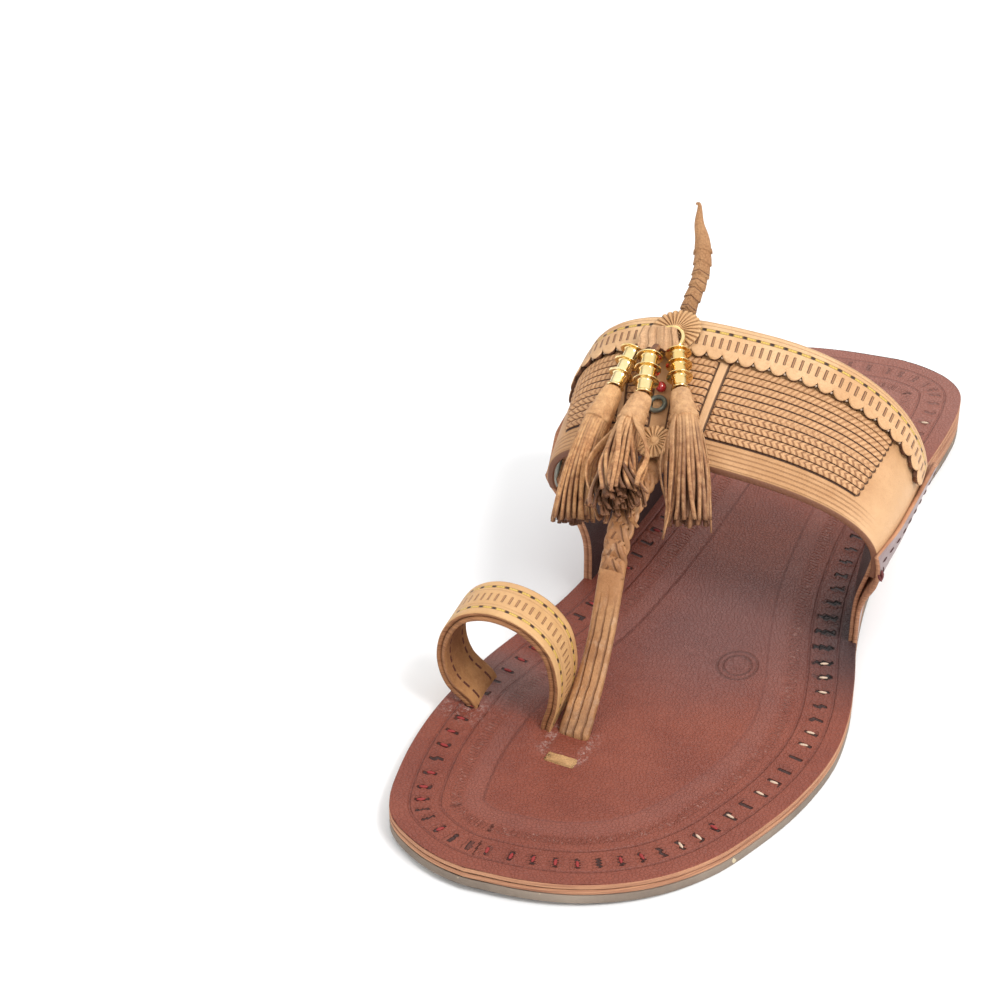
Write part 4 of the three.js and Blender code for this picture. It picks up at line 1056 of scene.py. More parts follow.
look, _, mottle, fibre = grained("loop_suede", 1.0)
along, out = look.sheet_place()
nap = look.noise(1500.0, 6.0, 0.8)
from_middle = calc("ABSOLUTE", out - loop_width / 2)
thread, _ = look.group(stitch_group, Along=along, Across=from_middle, Pitch=3.4, Line=4.4)
tone = coats(blend(mottle, (0.3, 0.12, 0.04), (0.52, 0.25, 0.09)),
             (rise(look.noise(260.0, 5.0, 0.7), 0.45, 0.7) * 0.5, (0.24, 0.09, 0.03)),
             (rise(nap, 0.4, 0.7) * 0.35, (0.55, 0.29, 0.12)),
             (thread, (0.1, 0.018, 0.012)))
loop_suede = look.close(tone, 0.9, nap + fibre * 0.5 + thread * 0.6, 0.5)
rough_edge = cut_edge("rough_edge", (0.46, 0.21, 0.085), (0.16, 0.055, 0.02))

# %% [markdown]
# The plies are the same sheet, laid half the loop's thickness out and in. The inner one faces the toe, so it
# is turned round.

# %% Build the two plies
ply_wall = 1.25
for word, off, ply, nodes in (("outer", loop_wall / 2, loop_leather, ["toe_loop"]),
                              ("inner", -loop_wall / 2, loop_suede, [])):
    bm = sheet(150, 26, loop_place(off))
    face_away(bm, (loop_centre_x, loop_front_y + loop_width / 2, 22))
    if off < 0:
        bmesh.ops.reverse_faces(bm, faces=bm.faces[:])
    finish_piece(f"toe_loop_{word}", bm, [ply, rough_edge, rough_edge], nodes, wall=ply_wall)

# %% [markdown]
# ## Straps
# A strap is a section carried along a line. A curve with a bevel would carry one too, but it couldn't change
# its section on the way. So a strap is a sheet rolled shut, which keeps its place along and across.

# %% Strap helpers
def carried(line, across_hint):
    run = np.gradient(line, axis=0)
    run /= np.linalg.norm(run, axis=1)[:, None]
    across = np.array(across_hint, float) - run * (run @ np.array(across_hint, float))[:, None]
    across /= np.linalg.norm(across, axis=1)[:, None]
    return run, across, np.cross(across, run)


def close_seam(bm):
    bmesh.ops.remove_doubles(bm, verts=bm.verts[:], dist=1e-4)


def strap(line, across_hint, sides, section):
    _, across, off = carried(line, across_hint)
    length = float(np.linalg.norm(np.diff(line, axis=0), axis=1).sum())

    def place(s, t):
        k = np.rint(s * (len(line) - 1)).astype(int)
        u, v = section(s, t * 2 * np.pi)
        return line[k] + across[k] * u[:, None] + off[k] * v[:, None], s * length, u

    bm = sheet(len(line) - 1, sides, place)
    close_seam(bm)
    bmesh.ops.holes_fill(bm, edges=bm.edges[:], sides=0)
    print("strap of", round(length, 1), "mm")
    return bm


def signed_power(value, power):
    return np.sign(value) * np.abs(value) ** power


# %% [markdown]
# ## Thong
# The thong runs from between the toes up to the band. Its lower half is a plain grooved strap and its upper
# half is plaited from four flat strands. The strands are real sweeps that weave over each other, because the
# plait stands clear of the band and its outline shows.

# %% Build the thong
thong_stops = [
    (-0.226, 0.2225, -0.036), (-0.226, 0.2228, 0.005), (-0.23, 0.236, 0.077), (-0.24, 0.262, 0.19),
    (-0.25, 0.288, 0.354), (-0.26, 0.307, 0.539), (-0.27, 0.323, 0.708), (-0.28, 0.34, 0.862),
    (-0.293, 0.364, 0.925), (-0.31, 0.398, 0.945), (-0.325, 0.432, 0.955),
]
thong_width, thong_thick, thong_steps, braid_from = 8.0, 3.0, 240, 0.5
thong_line = [(side * half_ball, along_y(share), float(insole_top(along_y(share))) + up * band_front_rise)
              for side, share, up in thong_stops]
thong_line[0] = (*thong_line[0][:2], float(midsole_top(thong_line[0][1])) + seam)
thong_line.append(tuple(band_spot(thong_line[-1][0], band_front_y + band_width * 0.1, thong_thick * 0.25)))
thong_line = smooth_line(thong_line, thong_steps + 1)


def thong_section(s, turn):
    on_braid = smooth((s - braid_from) / 0.1)
    slim = mix(1.0, 0.8, on_braid) * mix(1.12, 0.93, smooth(s / 0.3))
    u = signed_power(np.cos(turn), 0.5) * thong_width / 2 * slim
    v = signed_power(np.sin(turn), 0.6) * thong_thick / 2 * mix(1.0, 0.55, on_braid)
    return u, v - 0.3 * (1 - slim)


look, height, mottle, _ = grained("thong_leather", 1.0)
along, out = look.sheet_place()
low = 1 - rise(along, 30.0, 46.0)
# The grooves are darkened in the colour: painted shade in the grooves.
shaded_groove = near(repeat(out + look.noise(70.0) * 1.8, 2.3), 0.5, 0.1, 0.9) * low
# Darker in noisy patches towards the thong's foot.
dark_at_foot = (1 - rise(along, 2.0, 20.0)) * rise(look.noise(160.0, 5.0, 0.7), 0.4, 0.65)
tone = coats(blend(mottle, (0.36, 0.155, 0.055), (0.6, 0.33, 0.15)),
             (look.specks() * 0.5, (0.24, 0.095, 0.035)),
             # Painted highlight: pale patches on the lower half.
             (low * rise(look.noise(300.0, 4.0, 0.6), 0.52, 0.68) * 0.3, (0.75, 0.55, 0.38)),
             (low * rise(look.noise(240.0, 5.0, 0.7), 0.35, 0.7) * 0.55, (0.27, 0.115, 0.045)),
             (shaded_groove * 0.7, (0.15, 0.055, 0.023)),
             (dark_at_foot * 0.6, (0.18, 0.075, 0.03)))
thong_leather = look.close(tone, 0.55, height * 0.15 - shaded_groove * 0.8, 0.5)
bm = strap(thong_line, (1, 0, 0), 36, thong_section)
finish_piece("thong", bm, [thong_leather], ["upper"], closed=True)

# %% [markdown]
# In a plait of four, each strand swings from side to side a quarter turn after the last, and rises over the
# strand that it crosses. So each is a strap on a line that swings once and bobs twice in the same time.

# %% Plait its upper half
plait_line = resample(thong_line[int(braid_from * thong_steps) - 4:thong_steps - 7], 141)
_, across, off = carried(plait_line, (1, 0, 0))
plait_turns, strand_swing, strand_half, strand_rise = 2.6, 2.1, 1.75, 0.75


def strand_section(s, turn):
    return signed_power(np.cos(turn), 0.6) * strand_half, signed_power(np.sin(turn), 0.6) * strand_rise


s = np.linspace(0, 1, len(plait_line))
for strand in range(4):
    swing = 2 * np.pi * plait_turns * s + strand * math.pi / 2
    sideways = np.sin(swing) * strand_swing
    upwards = 0.5 + 0.8 * np.cos(2 * swing + 0.6) * smooth(s / 0.08)
    centre = plait_line + across * sideways[:, None] + off * upwards[:, None]
    bm = strap(centre, (1, 0, 0), 14, strand_section)
    finish_piece(f"plait_{strand + 1}", bm, [thong_leather], closed=True)

# %% [markdown]
# ## Tab
# The end of the thong shows through a second slot as a small rough tab. It is a block of suede, bevelled
# so that it looks pressed, and its points are moved a little by chance, since a raw end is never flat.

# %% Build the tab
bm = bmesh.new()
tab_x, tab_y, tab_proud = -10.6, -89.8, 0.5
tab_base = float(midsole_top(tab_y)) + seam
tab_size = (8.8, 3.9, float(insole_top(tab_y)) + tab_proud - tab_base)
bmesh.ops.create_cube(bm, size=1, matrix=Matrix.Translation((tab_x, tab_y, tab_base + tab_size[2] / 2))
                      @ Matrix.Diagonal((*tab_size, 1)))
bmesh.ops.bevel(bm, geom=bm.edges[:], offset=0.7, segments=3, profile=0.5, affect="EDGES", material=-1)
bmesh.ops.subdivide_edges(bm, edges=bm.edges[:], cuts=3, use_grid_fill=True)
for vert in bm.verts:
    vert.co += Vector(luck.uniform(-0.12, 0.12) for _ in range(3))
look, _, mottle, _ = grained("pale_suede", 1.4)
nap = look.noise(2200.0, 5.0, 0.8)
tone = coats(blend(mottle, (0.5, 0.26, 0.1), (0.68, 0.4, 0.18)),
             (rise(nap, 0.4, 0.6) * 0.4, (0.35, 0.18, 0.08)))
pale_suede = look.close(tone, 0.95, nap, 0.5)
finish_piece("thong_tab", bm, [pale_suede], ["thong_tab"], closed=True)

# %% [markdown]
# ## Places on the band
# The trimmings sit on the band, which slopes and curves. So a trimming is placed by a share of the ball's
# half width, a share of the foot and a height, and is turned to the band's own slope there.

# %% Helpers for places on the band
def on_band(side, share, lift):
    return band_spot(side * half_ball, along_y(share), lift)


def band_frame(side, share, lift):
    step = 0.002
    along = (on_band(side + step, share, lift) - on_band(side - step, share, lift)).normalized()
    back = (on_band(side, share + step, lift) - on_band(side, share - step, lift)).normalized()
    up = along.cross(back).normalized()
    turn = Matrix((along, up.cross(along), up)).transposed().to_4x4()
    return Matrix.Translation(on_band(side, share, lift)) @ turn


# %% [markdown]
# ## Rosettes
# A rosette is a strip of leather folded into pleats and pulled round into a disc. Laid flat it is a ripple
# that repeats round a circle, so a polar sheet is rippled and given a wall. A button holds its middle.

# %% Build the rosettes
look, height, mottle, fibre = grained("pleated_leather", 1.2)
around, outward = look.sheet_place()
# Painted shade in the valleys between the pleats.
shaded_valley = near(repeat(around, 1.0), 0.5, 0.16, 0.6) * rise(outward, 0.24, 0.34)
tone = coats(blend(mottle, (0.55, 0.29, 0.12), (0.7, 0.41, 0.19)),
             (rise(outward, 0.7, 1.0) * 0.3, (0.72, 0.45, 0.22)),
             (shaded_valley * 0.4, (0.2, 0.075, 0.03)))
pleated_leather = look.close(tone, 0.55, height * 0.25 - shaded_valley * 0.5 + fibre * 0.3, 0.5)
rosette_thick, above_band = 2.0, (0, 7, 0)
button_rows = np.array([(0, 1.15), (0.15, 1.1), (0.2, 0.8), (0.3, 0.75), (0.62, 0.8), (0.96, 0.62), (1, 0.5)])


def rosette(name, side, share, lift, radius, pleats):
    frame_here = np.array(band_frame(side, share, lift))

    def place(s, t):
        turn = s * 2 * np.pi
        fold = np.abs(np.sin(turn * pleats / 2)) ** 0.7 - 0.5
        reach = radius * t * (1 + 0.035 * fold * (t > 0.9))
        high = np.interp(t, button_rows[:, 0], button_rows[:, 1]) + 0.24 * fold * smooth((t - 0.2) / 0.25)
        spots = np.stack([reach * np.cos(turn), reach * np.sin(turn), rosette_thick * high], axis=1)
        return spots @ frame_here[:3, :3].T + frame_here[:3, 3], s * pleats + 0.5, t

    bm = sheet(pleats * 10, 24, place)
    close_seam(bm)
    face_away(bm, above_band)
    finish_piece(name, bm, [pleated_leather, brown_edge, brown_edge], [name], wall=0.9)


strip_lift = seam + 0.9 + seam
rosette("rosette_top", -0.523, 0.5755, strip_lift, 7.8, 28)
rosette("rosette_low", -0.34, 0.448, 0.8 + thong_thick, 5.3, 20)

# %% [markdown]
# ## Horn
# The horn stands behind the top rosette: a strip folded into a stack of chevrons, whose free end is left
# plain and dries into a thin curled point. Each chevron is one saw tooth in the section carried up the line.

# %% Build the horn
horn_stops = [
    (0, 0, -0.07), (0, 0.005, 0), (0.01, 0.015, 0.071), (0.02, 0.05, 0.138), (0.034, 0.12, 0.24),
    (0.028, 0.19, 0.34), (-0.024, 0.3, 0.47), (-0.081, 0.37, 0.555), (-0.119, 0.452, 0.655),
    (-0.131, 0.457, 0.664), (-0.142, 0.447, 0.654),
]
horn_length, horn_half, horn_flat = 42.0, 2.8, 0.8
chevrons, chevron_end = 7, 0.62
folds_per_mm = chevrons / chevron_end / 29.5
horn_seat = np.array((-0.538 * half_ball, band_front_y + band_width + seam + horn_half * horn_flat,
                      sole_level + 0.964 * band_back_rise))
horn_line = smooth_line([horn_seat + np.array(stop) * horn_length for stop in horn_stops], 241)


def horn_section(s, turn):
    folded = s < chevron_end
    fold = np.where(folded, (s * chevrons / chevron_end + 0.42 * np.abs(np.cos(turn))) % 1, 1.0)
    point = mix(1, 0.13, np.clip((s - 0.64) / 0.36, 0, 1) ** 1.1)
    reach = horn_half * np.where(folded, mix(0.85, 1, s / chevron_end), point) * mix(1.05, 0.88, fold)
    crease = 1 - 0.25 * np.clip(-np.sin(turn), 0, 1) ** 8 * (s < 0.9)
    return reach * np.cos(turn), reach * horn_flat * np.sin(turn) * crease


look, height, mottle, fibre = grained("folded_leather", 1.3)
along, out = look.sheet_place()
fold = repeat(along * folds_per_mm + calc("ABSOLUTE", out) * 0.15, 1.0)
# Painted shade under each chevron fold.
shaded_under_fold = near(fold, 0.97, 0.09, 0.7) * (1 - rise(along, 18.0, 19.0))
tone = coats(blend(mottle, (0.42, 0.2, 0.08), (0.56, 0.3, 0.135)),
             (look.specks() * 0.5, (0.27, 0.11, 0.04)),
             (shaded_under_fold * 0.7, (0.1, 0.035, 0.015)))
folded_leather = look.close(tone, 0.6, height * 0.5 + fibre * 0.9 - shaded_under_fold * 0.5, 0.5)
bm = strap(horn_line, (1, 0, 0), 40, horn_section)
finish_piece("horn", bm, [folded_leather], ["horn"], closed=True)

# %% [markdown]
# ## Brass pieces
# The ring, the caps and the eyelet are turned or drawn brass. A profile turned about its axis gives true
# round flanges that catch the light in thin bright lines. The brass is polished and only a little mottled.

# %% Brass finish and turning
look, _, mottle, fibre = grained("bright_brass", 0.9)
tone = blend(mottle, (0.84, 0.58, 0.22), (1.0, 0.84, 0.48))
bright_brass = look.close(tone, mottle * 0.12 + 0.08, fibre, 0.03, Metallic=1.0)
look, _, mottle, fibre = grained("aged_brass", 1.5)
aged_brass = look.close(blend(mottle, (0.1, 0.11, 0.09), (0.24, 0.25, 0.2)), 0.45, fibre, 0.08, Metallic=0.5)


def turned(profile, place):
    bm = bmesh.new()
    verts = [bm.verts.new((radius, 0, z)) for radius, z in profile]
    edges = [bm.edges.new(pair) for pair in zip(verts, verts[1:] + verts[:1])]
    bmesh.ops.spin(bm, geom=verts + edges, cent=(0, 0, 0), axis=(0, 0, 1), angle=2 * math.pi, steps=48,
                   use_merge=True)
    close_seam(bm)
    bmesh.ops.transform(bm, matrix=place, verts=bm.verts[:])
    return bm


def hoop(radius, wire):
    turns = [2 * math.pi * k / 14 for k in range(14)]
    return [(radius + wire * math.cos(turn), wire * math.sin(turn)) for turn in turns]


# %% [markdown]
# The ring hangs from the top rosette, the darkened eyelet is set in the band below it, and the red glass
# bead sits between the two.

# %% Ring, eyelet and bead
ring_radius, ring_wire, eyelet_radius, eyelet_wire, bead_radius = 4.3, 0.72, 2.3, 0.7, 1.6
ring_lift = strip_lift + rosette_thick * 1.35 + seam + 0.6
ring_place = band_frame(-0.52, 0.555, ring_lift)
ring = turned(hoop(ring_radius, ring_wire), ring_place)
finish_piece("ring", ring, [bright_brass], ["ring"], closed=True)
eyelet_place = band_frame(-0.44, 0.4977, 0.0) @ Matrix.Translation((0, 0, eyelet_wire + seam))
eyelet = turned(hoop(eyelet_radius, eyelet_wire), eyelet_place)
finish_piece("eyelet", eyelet, [aged_brass], ["eyelet"], closed=True)
bm = bmesh.new()
bmesh.ops.create_uvsphere(bm, u_segments=24, v_segments=16, radius=bead_radius,
                          matrix=Matrix.Translation(on_band(-0.4585, 0.512, 1.9)))
red_glass = plain("red_glass", (0.5, 0.015, 0.02), 0.12, Coat_Weight=1.0)
finish_piece("bead", bm, [red_glass], ["bead"], closed=True)

# %% [markdown]
# ## Apron
# The apron is a soft flap of leather folded over the ring. Its folds run down towards the tassels. A cloth
# simulation would be slow for so small a piece, so a few rows say where it lies and a wave makes its folds.

# %% Build the apron
apron_rows = np.array([(0.537, -0.54, 0.5), (0.542, -0.545, 0.5), (0.552, -0.57, 0.47), (0.56, -0.585, 0.42),
                       (0.564, -0.588, 0.39)])
apron_width, apron_drop, apron_wall, apron_lift = 13.0, 8.0, 1.2, 1.5


def apron_place(s, t):
    rows = np.linspace(0, 1, len(apron_rows))
    share, side, half = (np.interp(t, rows, apron_rows[:, column]) for column in range(3))
    fold = np.cos(s * 2 * np.pi * 3.5) * 0.45 * (1 - t * 0.6)
    spots = [on_band(a + (2 * u - 1) * h * apron_width / half_ball, b, ring_lift + apron_lift + f)
             for a, u, h, b, f in zip(side, s, half, share, fold)]
    return np.array(spots), s * apron_width, t * apron_drop


look, height, mottle, fibre = grained("creased_leather", 1.2)
along = look.read("along")
crease = near(repeat(along + look.noise(120.0) * 2.4, 2.6), 0.5, 0.1, 0.9)
tone = coats(blend(mottle, (0.56, 0.31, 0.15), (0.78, 0.5, 0.28)),
             (look.specks() * 0.4, (0.34, 0.15, 0.06)),
             # Painted shade along the creases.
             (crease * 0.32, (0.2, 0.08, 0.035)))
creased_leather = look.close(tone, 0.55, height * 0.4 + fibre * 0.4 - crease * 0.6, 0.45)
bm = sheet(56, 20, apron_place)
face_away(bm, above_band)
finish_piece("apron", bm, [creased_leather, brown_edge, brown_edge], ["apron"],
             wall=apron_wall)

# %% [markdown]
# ## Tassels and their caps
# Each tassel is a leather cut into a fringe, rolled up tight and pulled through a brass cap. So it has a
# smooth rolled head and a skirt of separate strips. The strips are real ribbons with a wall: their ends show
# in the photograph's middle, where a drawn fringe would look solid.

# %% Tassel places
cap_length, cap_flange, cap_body, cap_bore = 13.0, 3.8, 2.25, 1.5
head_gap, head_radius, skirt_radius = 0.5, 3.6, 6.4
tassel_rows = {
    "medial": dict(hang=(-0.672, 0.544, 5.1), top=(-0.688, 0.5379, 5.3), aim=(-0.69, 0.4955, 5.3),
                   head=(-0.705, 0.4625, 5.6), tip=(-0.625, 0.372, 0.70)),
    "middle": dict(hang=(-0.55, 0.538, 7.0), top=(-0.542, 0.5176, 9.6), aim=(-0.483, 0.4793, 9.8),
                   head=(-0.475, 0.4432, 10.5), tip=(-0.26, 0.332, 1.065)),
    "lateral": dict(hang=(-0.4395, 0.5442, 5.3), top=(-0.428, 0.54, 5.3), aim=(-0.326, 0.5022, 5.5),
                    head=(-0.215, 0.4681, 6.4), tip=(-0.02, 0.399, 0.78)),
}


def axis_frame(start, end):
    axis = (end - start).normalized()
    right = axis.cross(Vector((0, 0, 1))).normalized()
    return Matrix.Translation(start) @ Matrix((right, right.cross(axis), axis)).transposed().to_4x4()


# %% [markdown]
# A cap is thin brass with three flanges, spun on a lathe. Its profile is one small outline repeated three
# times and turned about the tassel's axis, which runs from where the cord enters to where it aims.

# %% Turn the caps
flange_rows = [(0.2, -0.04), (0.4, -0.05), (cap_flange - cap_body - 0.1, -0.05), (cap_flange - cap_body, 0.02),
               (cap_flange - cap_body, 0.2), (cap_flange - cap_body - 0.1, 0.27), (0.5, 0.3), (0.2, 0.36),
               (0.08, 0.6), (0, 1.2), (0, 3.3), (0.1, 4.0)]
cap_outline = [(cap_bore, 0)]
for k in range(3):
    cap_outline += [(cap_body + out, cap_length * k / 3 + up) for out, up in flange_rows]
cap_outline += [(cap_body + 0.4, cap_length), (cap_bore, cap_length)]

places = {}
for name, row in tassel_rows.items():
    hang, top, aim, head = (on_band(*row[key]) for key in ("hang", "top", "aim", "head"))
    end = top + (aim - top).normalized() * cap_length
    side, share, up = row["tip"]
    tip_y = along_y(share)
    tip = Vector((side * half_ball, tip_y, float(insole_top(tip_y)) + up * band_front_rise))
    start = end + (aim - top).normalized() * head_gap
    places[name] = dict(hang=hang, top=top, start=start, head=head, tip=tip)
    cap = turned(cap_outline, axis_frame(top, end))
    finish_piece(f"cap_{name}", cap, [bright_brass], [f"cap_{name}"], closed=True)

# %% [markdown]
# The three tassels are one leather, worn to different degrees. Their finish is paler near the head and along
# each strip's middle, with painted shade on each strip's edges, in the gaps and on the inner rings, and dark at
# the cut ends.

# %% Tassel finishes
def tassel_finish(name, light, dark, worn):
    look, height, mottle, fibre = grained(name, 1.2)
    along, across = look.sheet_place()
    streak = look.noise(520.0, 4.0, 0.7)
    tone = coats(blend(mottle, dark, light),
                 (rise(streak, 0.42, 0.72) * 0.5, worn),
                 ((1 - rise(streak, 0.3, 0.47)) * 0.75, (0.2, 0.07, 0.025)),
                 ((1 - rise(along, 0.12, 0.45)) * 0.35, worn),
                 # Painted shade on the inner rings and towards each strip's edges, read from the across value.
                 ((1 - rise(across, 0.55, 0.95)) * 0.85, (0.11, 0.038, 0.014)),
                 (look.specks(1300.0, 0.5, 0.7) * 0.35, (0.18, 0.07, 0.028)),
                 (rise(along, 0.9, 1.0) * 0.5, (0.16, 0.06, 0.025)))
    return look.close(tone, 0.6, height * 0.3 + fibre * 0.4 + streak * 0.4, 0.45)


tassel_looks = {
    "medial": tassel_finish("tassel_medial", (0.62, 0.3, 0.11), (0.4, 0.16, 0.056), (0.86, 0.53, 0.25)),
    "middle": tassel_finish("tassel_middle", (0.6, 0.29, 0.11), (0.36, 0.145, 0.05), (0.86, 0.53, 0.26)),
    "lateral": tassel_finish("tassel_lateral", (0.52, 0.25, 0.1), (0.28, 0.115, 0.045), (0.78, 0.48, 0.24)),
}
print("tassel finishes:", ", ".join(tassel_looks))


# %% [markdown]
# ## A skirt of ribbons
# A skirt is bent: its strips leave the head straight, then hang. So they follow one bent line, spread round
# it, and each has its own small wave, length and curl. Inner rings of strips fill the open end.

# %% Ribbon helpers
line_steps = 40


def skirt_line(place_here):
    head, start, tip = (place_here[key] for key in ("head", "start", "tip"))
    away = (head - start).normalized()
    first = np.array(head - (head - start) * 0.12)
    bend = np.array(head + away * (tip - head).length * 0.45)
    s = np.linspace(0, 1, line_steps + 2)[:, None]
    line = first * (1 - s) ** 2 + bend * 2 * s * (1 - s) + np.array(tip) * s**2
    return line, carried(line, (1, 0, 0))


def ribbon_mesh():
    bm = bmesh.new()
    bm.verts.layers.float.new("along")
    bm.verts.layers.float.new("across")
    return bm


def lay_ribbon(bm, columns, rows, place):
    made = bmesh.ops.create_grid(bm, x_segments=columns, y_segments=rows, size=0.5)["verts"]
    along, across = bm.verts.layers.float["along"], bm.verts.layers.float["across"]
    for vert in made:
        s, t = vert.co.x + 0.5, vert.co.y + 0.5
        vert.co, vert[across] = place(s, t)
        vert[along] = s


def skirt_strip(line, frames, turn, share, width, flare_row, habit):
    run, right, up = frames
    sway, wave, phase = habit["sway"], habit["wave"], habit["phase"]

    def place(s, t):
        at = min(s * line_steps, line_steps - 0.001)
        low = int(at)
        flare = float(np.interp(s, flare_stops, flare_row))
        reach = mix(head_radius * 1.02, skirt_radius, flare) * share
        flat = mix(1, 0.72, flare)
        a = turn + sway * s * s + wave * math.sin(phase + s * 5) * s * 0.2
        outward = Vector(right[low]) * math.cos(a) + Vector(up[low]) * math.sin(a) * flat
        sideways = (Vector(up[low]) * math.cos(a) * flat - Vector(right[low]) * math.sin(a)).normalized()
        roll = (2 * t - 1) * 2.1
        swing = wave * math.sin(phase + s * 7) * s * 0.9 + habit["curl"] * max(0, s - 0.5) ** 2 * 16
        spot = Vector(mix(line[low], line[low + 1], at - low))
        spot += outward * (reach + swing - (1 - math.cos(roll)) * width * 0.5)
        spot += sideways * math.sin(roll) * width * 0.5 + Vector(run[low]) * habit["longer"] * s
        # The value kept as across sets painted shade: lower for inner rings and towards each strip's edges, and
        # lower by a random tone for some strips.
        return spot, share - habit["shade"] - (2 * t - 1) ** 2 * min(s * 5, 1)

    return place


# %% [markdown]
# Each skirt is four rings of strips, from the outside in. A strip's sway, curl, length and shade are drawn
# by seeded chance, so that every run gives the same fringe.

# %% Make the skirts
flare_stops = [0, 0.35, 0.65, 0.9, 1]
flares = {
    "medial": [0, 0.12, 0.4, 0.78, 1], "middle": [0, 0.35, 0.75, 0.95, 1], "lateral": [0, 0.3, 0.65, 0.9, 1],
}
skirts = {
    "medial": ([(1.0, 25), (0.76, 17), (0.5, 11), (0.25, 5)], 1.4, 0.2, 0.0),
    "middle": ([(1.0, 21), (0.74, 15), (0.48, 10), (0.2, 4)], 4.0, 1.1, 0.8),
    "lateral": ([(1.0, 24), (0.74, 15), (0.48, 10), (0.22, 5)], 2.4, 0.5, 0.25),
}
fringe_wall = 0.5
for name, (rings, ragged, wave, curl) in skirts.items():
    line, frames = skirt_line(places[name])
    bm = ribbon_mesh()
    for share, count in rings:
        first_turn = luck.random()
        for k in range(count):
            habit = dict(sway=luck.uniform(-0.3, 0.3), wave=wave, phase=luck.uniform(0, 6.3),
                         curl=curl * luck.uniform(-0.6, 1), longer=luck.uniform(-1, 0.3) * ragged,
                         shade=luck.choice([0, 0, 0.04, 0.16]))
            width = min(1.4, 2 * math.pi * skirt_radius * share / count) * luck.uniform(0.8, 1.1)
            turn = 2 * math.pi * (k + first_turn) / count
            lay_ribbon(bm, 26, 6, skirt_strip(line, frames, turn, share, width, flares[name], habit))
    finish_piece(f"tassel_{name}_skirt", bm, [tassel_looks[name]] * 3, [f"tassel_{name}"],
                 wall=fringe_wall)
    print("strips of", round(float(np.linalg.norm(np.diff(line, axis=0), axis=1).sum()), 1), "mm")

# %% [markdown]
# A few strips leave the bundle and arch away from it. Chance would seldom put them where the photograph
# shows them, so each has a row of its own: turn, width, how far out it arches, and extra length.

# %% Let some strips stray
strays = {
    "middle": [(-1.0, 2.6, 5.5, 0.5), (-0.4, 1.6, 4.0, -3.0), (0.9, 2.2, 4.5, 2.5), (2.4, 2.8, 5.0, -1.5),
               (-2.0, 1.8, 3.0, 1.5)],
    "lateral": [(-2.4, 1.7, 5.0, 4.0), (-2.9, 1.5, 3.4, 2.5), (2.7, 1.4, 4.2, 1.0), (0.4, 1.5, 2.5, 2.0)],
    "medial": [(0.6, 1.5, 2.0, -3.5)],
}


def stray_strip(line, frames, turn, width, out_by, longer):
    run, right, up = frames

    def place(s, t):
        low = min(int(s * line_steps), line_steps)
        a = turn + 0.5 * math.sin(s * 3.2)
        outward = Vector(right[low]) * math.cos(a) + Vector(up[low]) * math.sin(a)
        sideways = Vector(up[low]) * math.cos(a) - Vector(right[low]) * math.sin(a)
        slim = width * mix(1, 0.45, s) * (2 * t - 1) / 2
        reach = head_radius + 1.4 * s + out_by * math.sin(min(s * 1.25, 1) * math.pi * 0.8)
        middle = Vector(mix(line[low], line[low + 1], s * line_steps - low))
        return middle + outward * reach + sideways * slim + Vector(run[low]) * longer * s, 1.0

    return place


for name, rows in strays.items():
    line, frames = skirt_line(places[name])
    bm = ribbon_mesh()
    for row in rows:
        lay_ribbon(bm, 30, 4, stray_strip(line, frames, *row))
    finish_piece(f"tassel_{name}_strays", bm, [tassel_looks[name]] * 3, wall=fringe_wall)

# %% [markdown]
# ## Rolled heads
# Above its slits the leather is still whole, rolled up tight. So the head is a strap of its own whose lower
# edge lies on the ribbons. Its roll shows as one spiral seam and a few soft dents, not a perfect barrel.

# %% Make the heads and cords
head_reach = {"medial": 1.12, "middle": 1.0, "lateral": 0.98}
head_rows = np.array([(0, 0.55), (0.06, 0.76), (0.2, 0.88), (0.5, 0.97), (0.9, 1.12), (1, 1.13)])
cord_radius = 1.15


def head_section(dents):
    def section(s, turn):
        radius = np.interp(s, head_rows[:, 0], head_rows[:, 1]) * head_radius
        dent = 0.03 * np.sin(3 * turn + dents[0] + s * 2) + 0.02 * np.sin(7 * turn + dents[1] - s * 3)
        roll_seam = 0.05 * np.exp(-((np.mod(turn - 4.4 + s * 1.1, 2 * np.pi) - 0.2) / 0.12) ** 2)
        ragged_edge = 1 + 0.06 * np.sin(5 * turn + dents[2]) * (s > 0.85)
        radius = radius * (1 + dent - roll_seam) * ragged_edge
        return radius * np.cos(turn), radius * np.sin(turn)

    return section


def cord_section(s, turn):
    return cord_radius * np.cos(turn), cord_radius * np.sin(turn)


for name, place_here in places.items():
    start, head = (np.array(place_here[key]) for key in ("start", "head"))
    line = start + (head - start) * np.linspace(0, head_reach[name], 31)[:, None]
    dents = [luck.uniform(0, 6.3) for _ in range(3)]
    bm = strap(line, (1, 0, 0), 44, head_section(dents))
    for vert in bm.verts:
        vert[bm.verts.layers.float["across"]] = 1.0
        vert[bm.verts.layers.float["along"]] *= 0.02
    finish_piece(f"tassel_{name}_head", bm, [tassel_looks[name]], closed=True)
    cord = smooth_line([place_here[key] for key in ("hang", "top", "start")], 40)
    bm = strap(cord, (1, 0, 0.1), 12, cord_section)
    finish_piece(f"tassel_{name}_cord", bm, [tassel_looks[name]], closed=True)

# %% [markdown]
# ## Floor and light
# The sandal stands on a plain white floor. One large soft light above and to the right gives the short soft
# shadow on the left, two weak ones lift the front and the back, and a bright sky fills the rest.

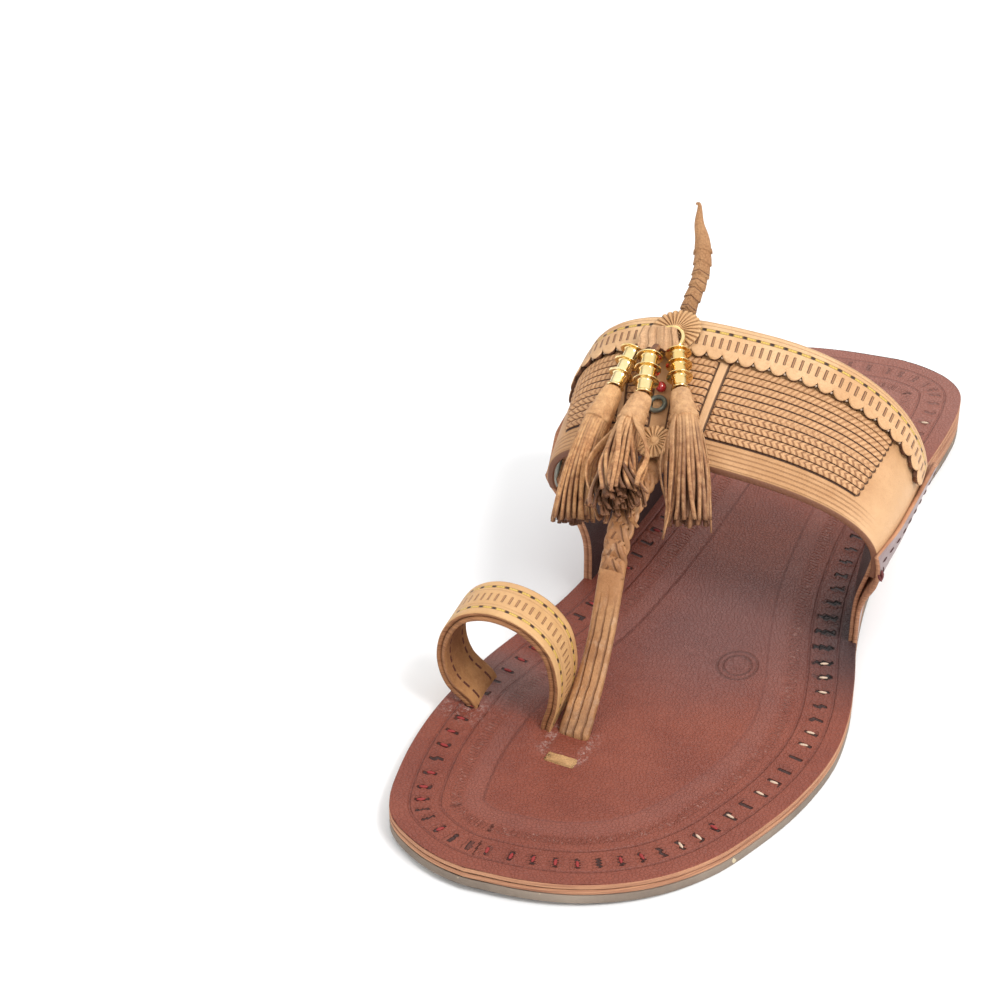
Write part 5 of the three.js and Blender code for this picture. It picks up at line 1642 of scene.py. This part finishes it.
# %% Floor and lights
bm = bmesh.new()
bmesh.ops.create_grid(bm, x_segments=1, y_segments=1, size=6000)
bmesh.ops.translate(bm, verts=bm.verts[:], vec=(0, 0, -0.05))
look = Finish("white_floor")
white = blend(look.noise(2.0), (0.86, 0.86, 0.86), (0.88, 0.88, 0.88))
white_floor = look.close(white, 0.9, look.noise(40.0), 0.01)
mesh = bpy.data.meshes.new("floor")
bmesh.ops.scale(bm, verts=bm.verts[:], vec=(MM, MM, MM))
bm.to_mesh(mesh)
bm.free()
mesh.materials.append(white_floor)
floor = bpy.data.objects.new("floor", mesh)
bpy.context.collection.objects.link(floor)

world = bpy.data.worlds.new("studio")
world.use_nodes = True
sky = world.node_tree.nodes["Background"]
way = world.node_tree.nodes.new("ShaderNodeSeparateXYZ")
sky_place = world.node_tree.nodes.new("ShaderNodeTexCoord").outputs["Generated"]
world.node_tree.links.new(sky_place, way.inputs[0])
overhead = rise(Wire(way.outputs["Z"]), 0.05, 0.75)
plug(world.node_tree, blend(overhead, (0.4, 0.4, 0.4), (1.2, 1.2, 1.2)), sky.inputs["Color"])
sky.inputs["Strength"].default_value = 1.0
bpy.context.scene.world = world
bpy.context.scene.view_settings.view_transform = "Standard"


def soft_light(name, spot, size, power):
    lamp = bpy.data.lights.new(name, "AREA")
    lamp.shape, lamp.size, lamp.energy = "DISK", size, power
    light = bpy.data.objects.new(name, lamp)
    light.location = spot
    light.rotation_euler = (Vector((0, 0, 0.03)) - Vector(spot)).to_track_quat("-Z", "Y").to_euler()
    bpy.context.collection.objects.link(light)
    print(name, power, "W")


soft_light("key_light", (0.75, -0.35, 1.1), 0.45, 11.0)
soft_light("front_light", (-0.2, -1.2, 0.7), 0.8, 1.5)
soft_light("back_light", (-0.3, 1.3, 0.75), 0.9, 3.0)

# %% [markdown]
# ## Camera
# The camera looks down from over the toe, as the photograph does, through a long lens. Its place and its way
# of looking were fitted to the outlines of the photograph once, and are kept here as plain numbers.

# %% Camera
camera_spot, camera_way = (0.21037, -0.5604, 0.4475), Vector((-0.370, 0.737, -0.566))
camera_data = bpy.data.cameras.new("camera")
camera_data.lens, camera_data.sensor_width = 90.1, 36.0
camera = bpy.data.objects.new("camera", camera_data)
camera.location = camera_spot
camera.rotation_euler = camera_way.to_track_quat("-Z", "Y").to_euler()
bpy.context.collection.objects.link(camera)
bpy.context.scene.camera = camera
print("camera looks down", round(math.degrees(math.asin(-camera_way.z)), 1), "degrees")
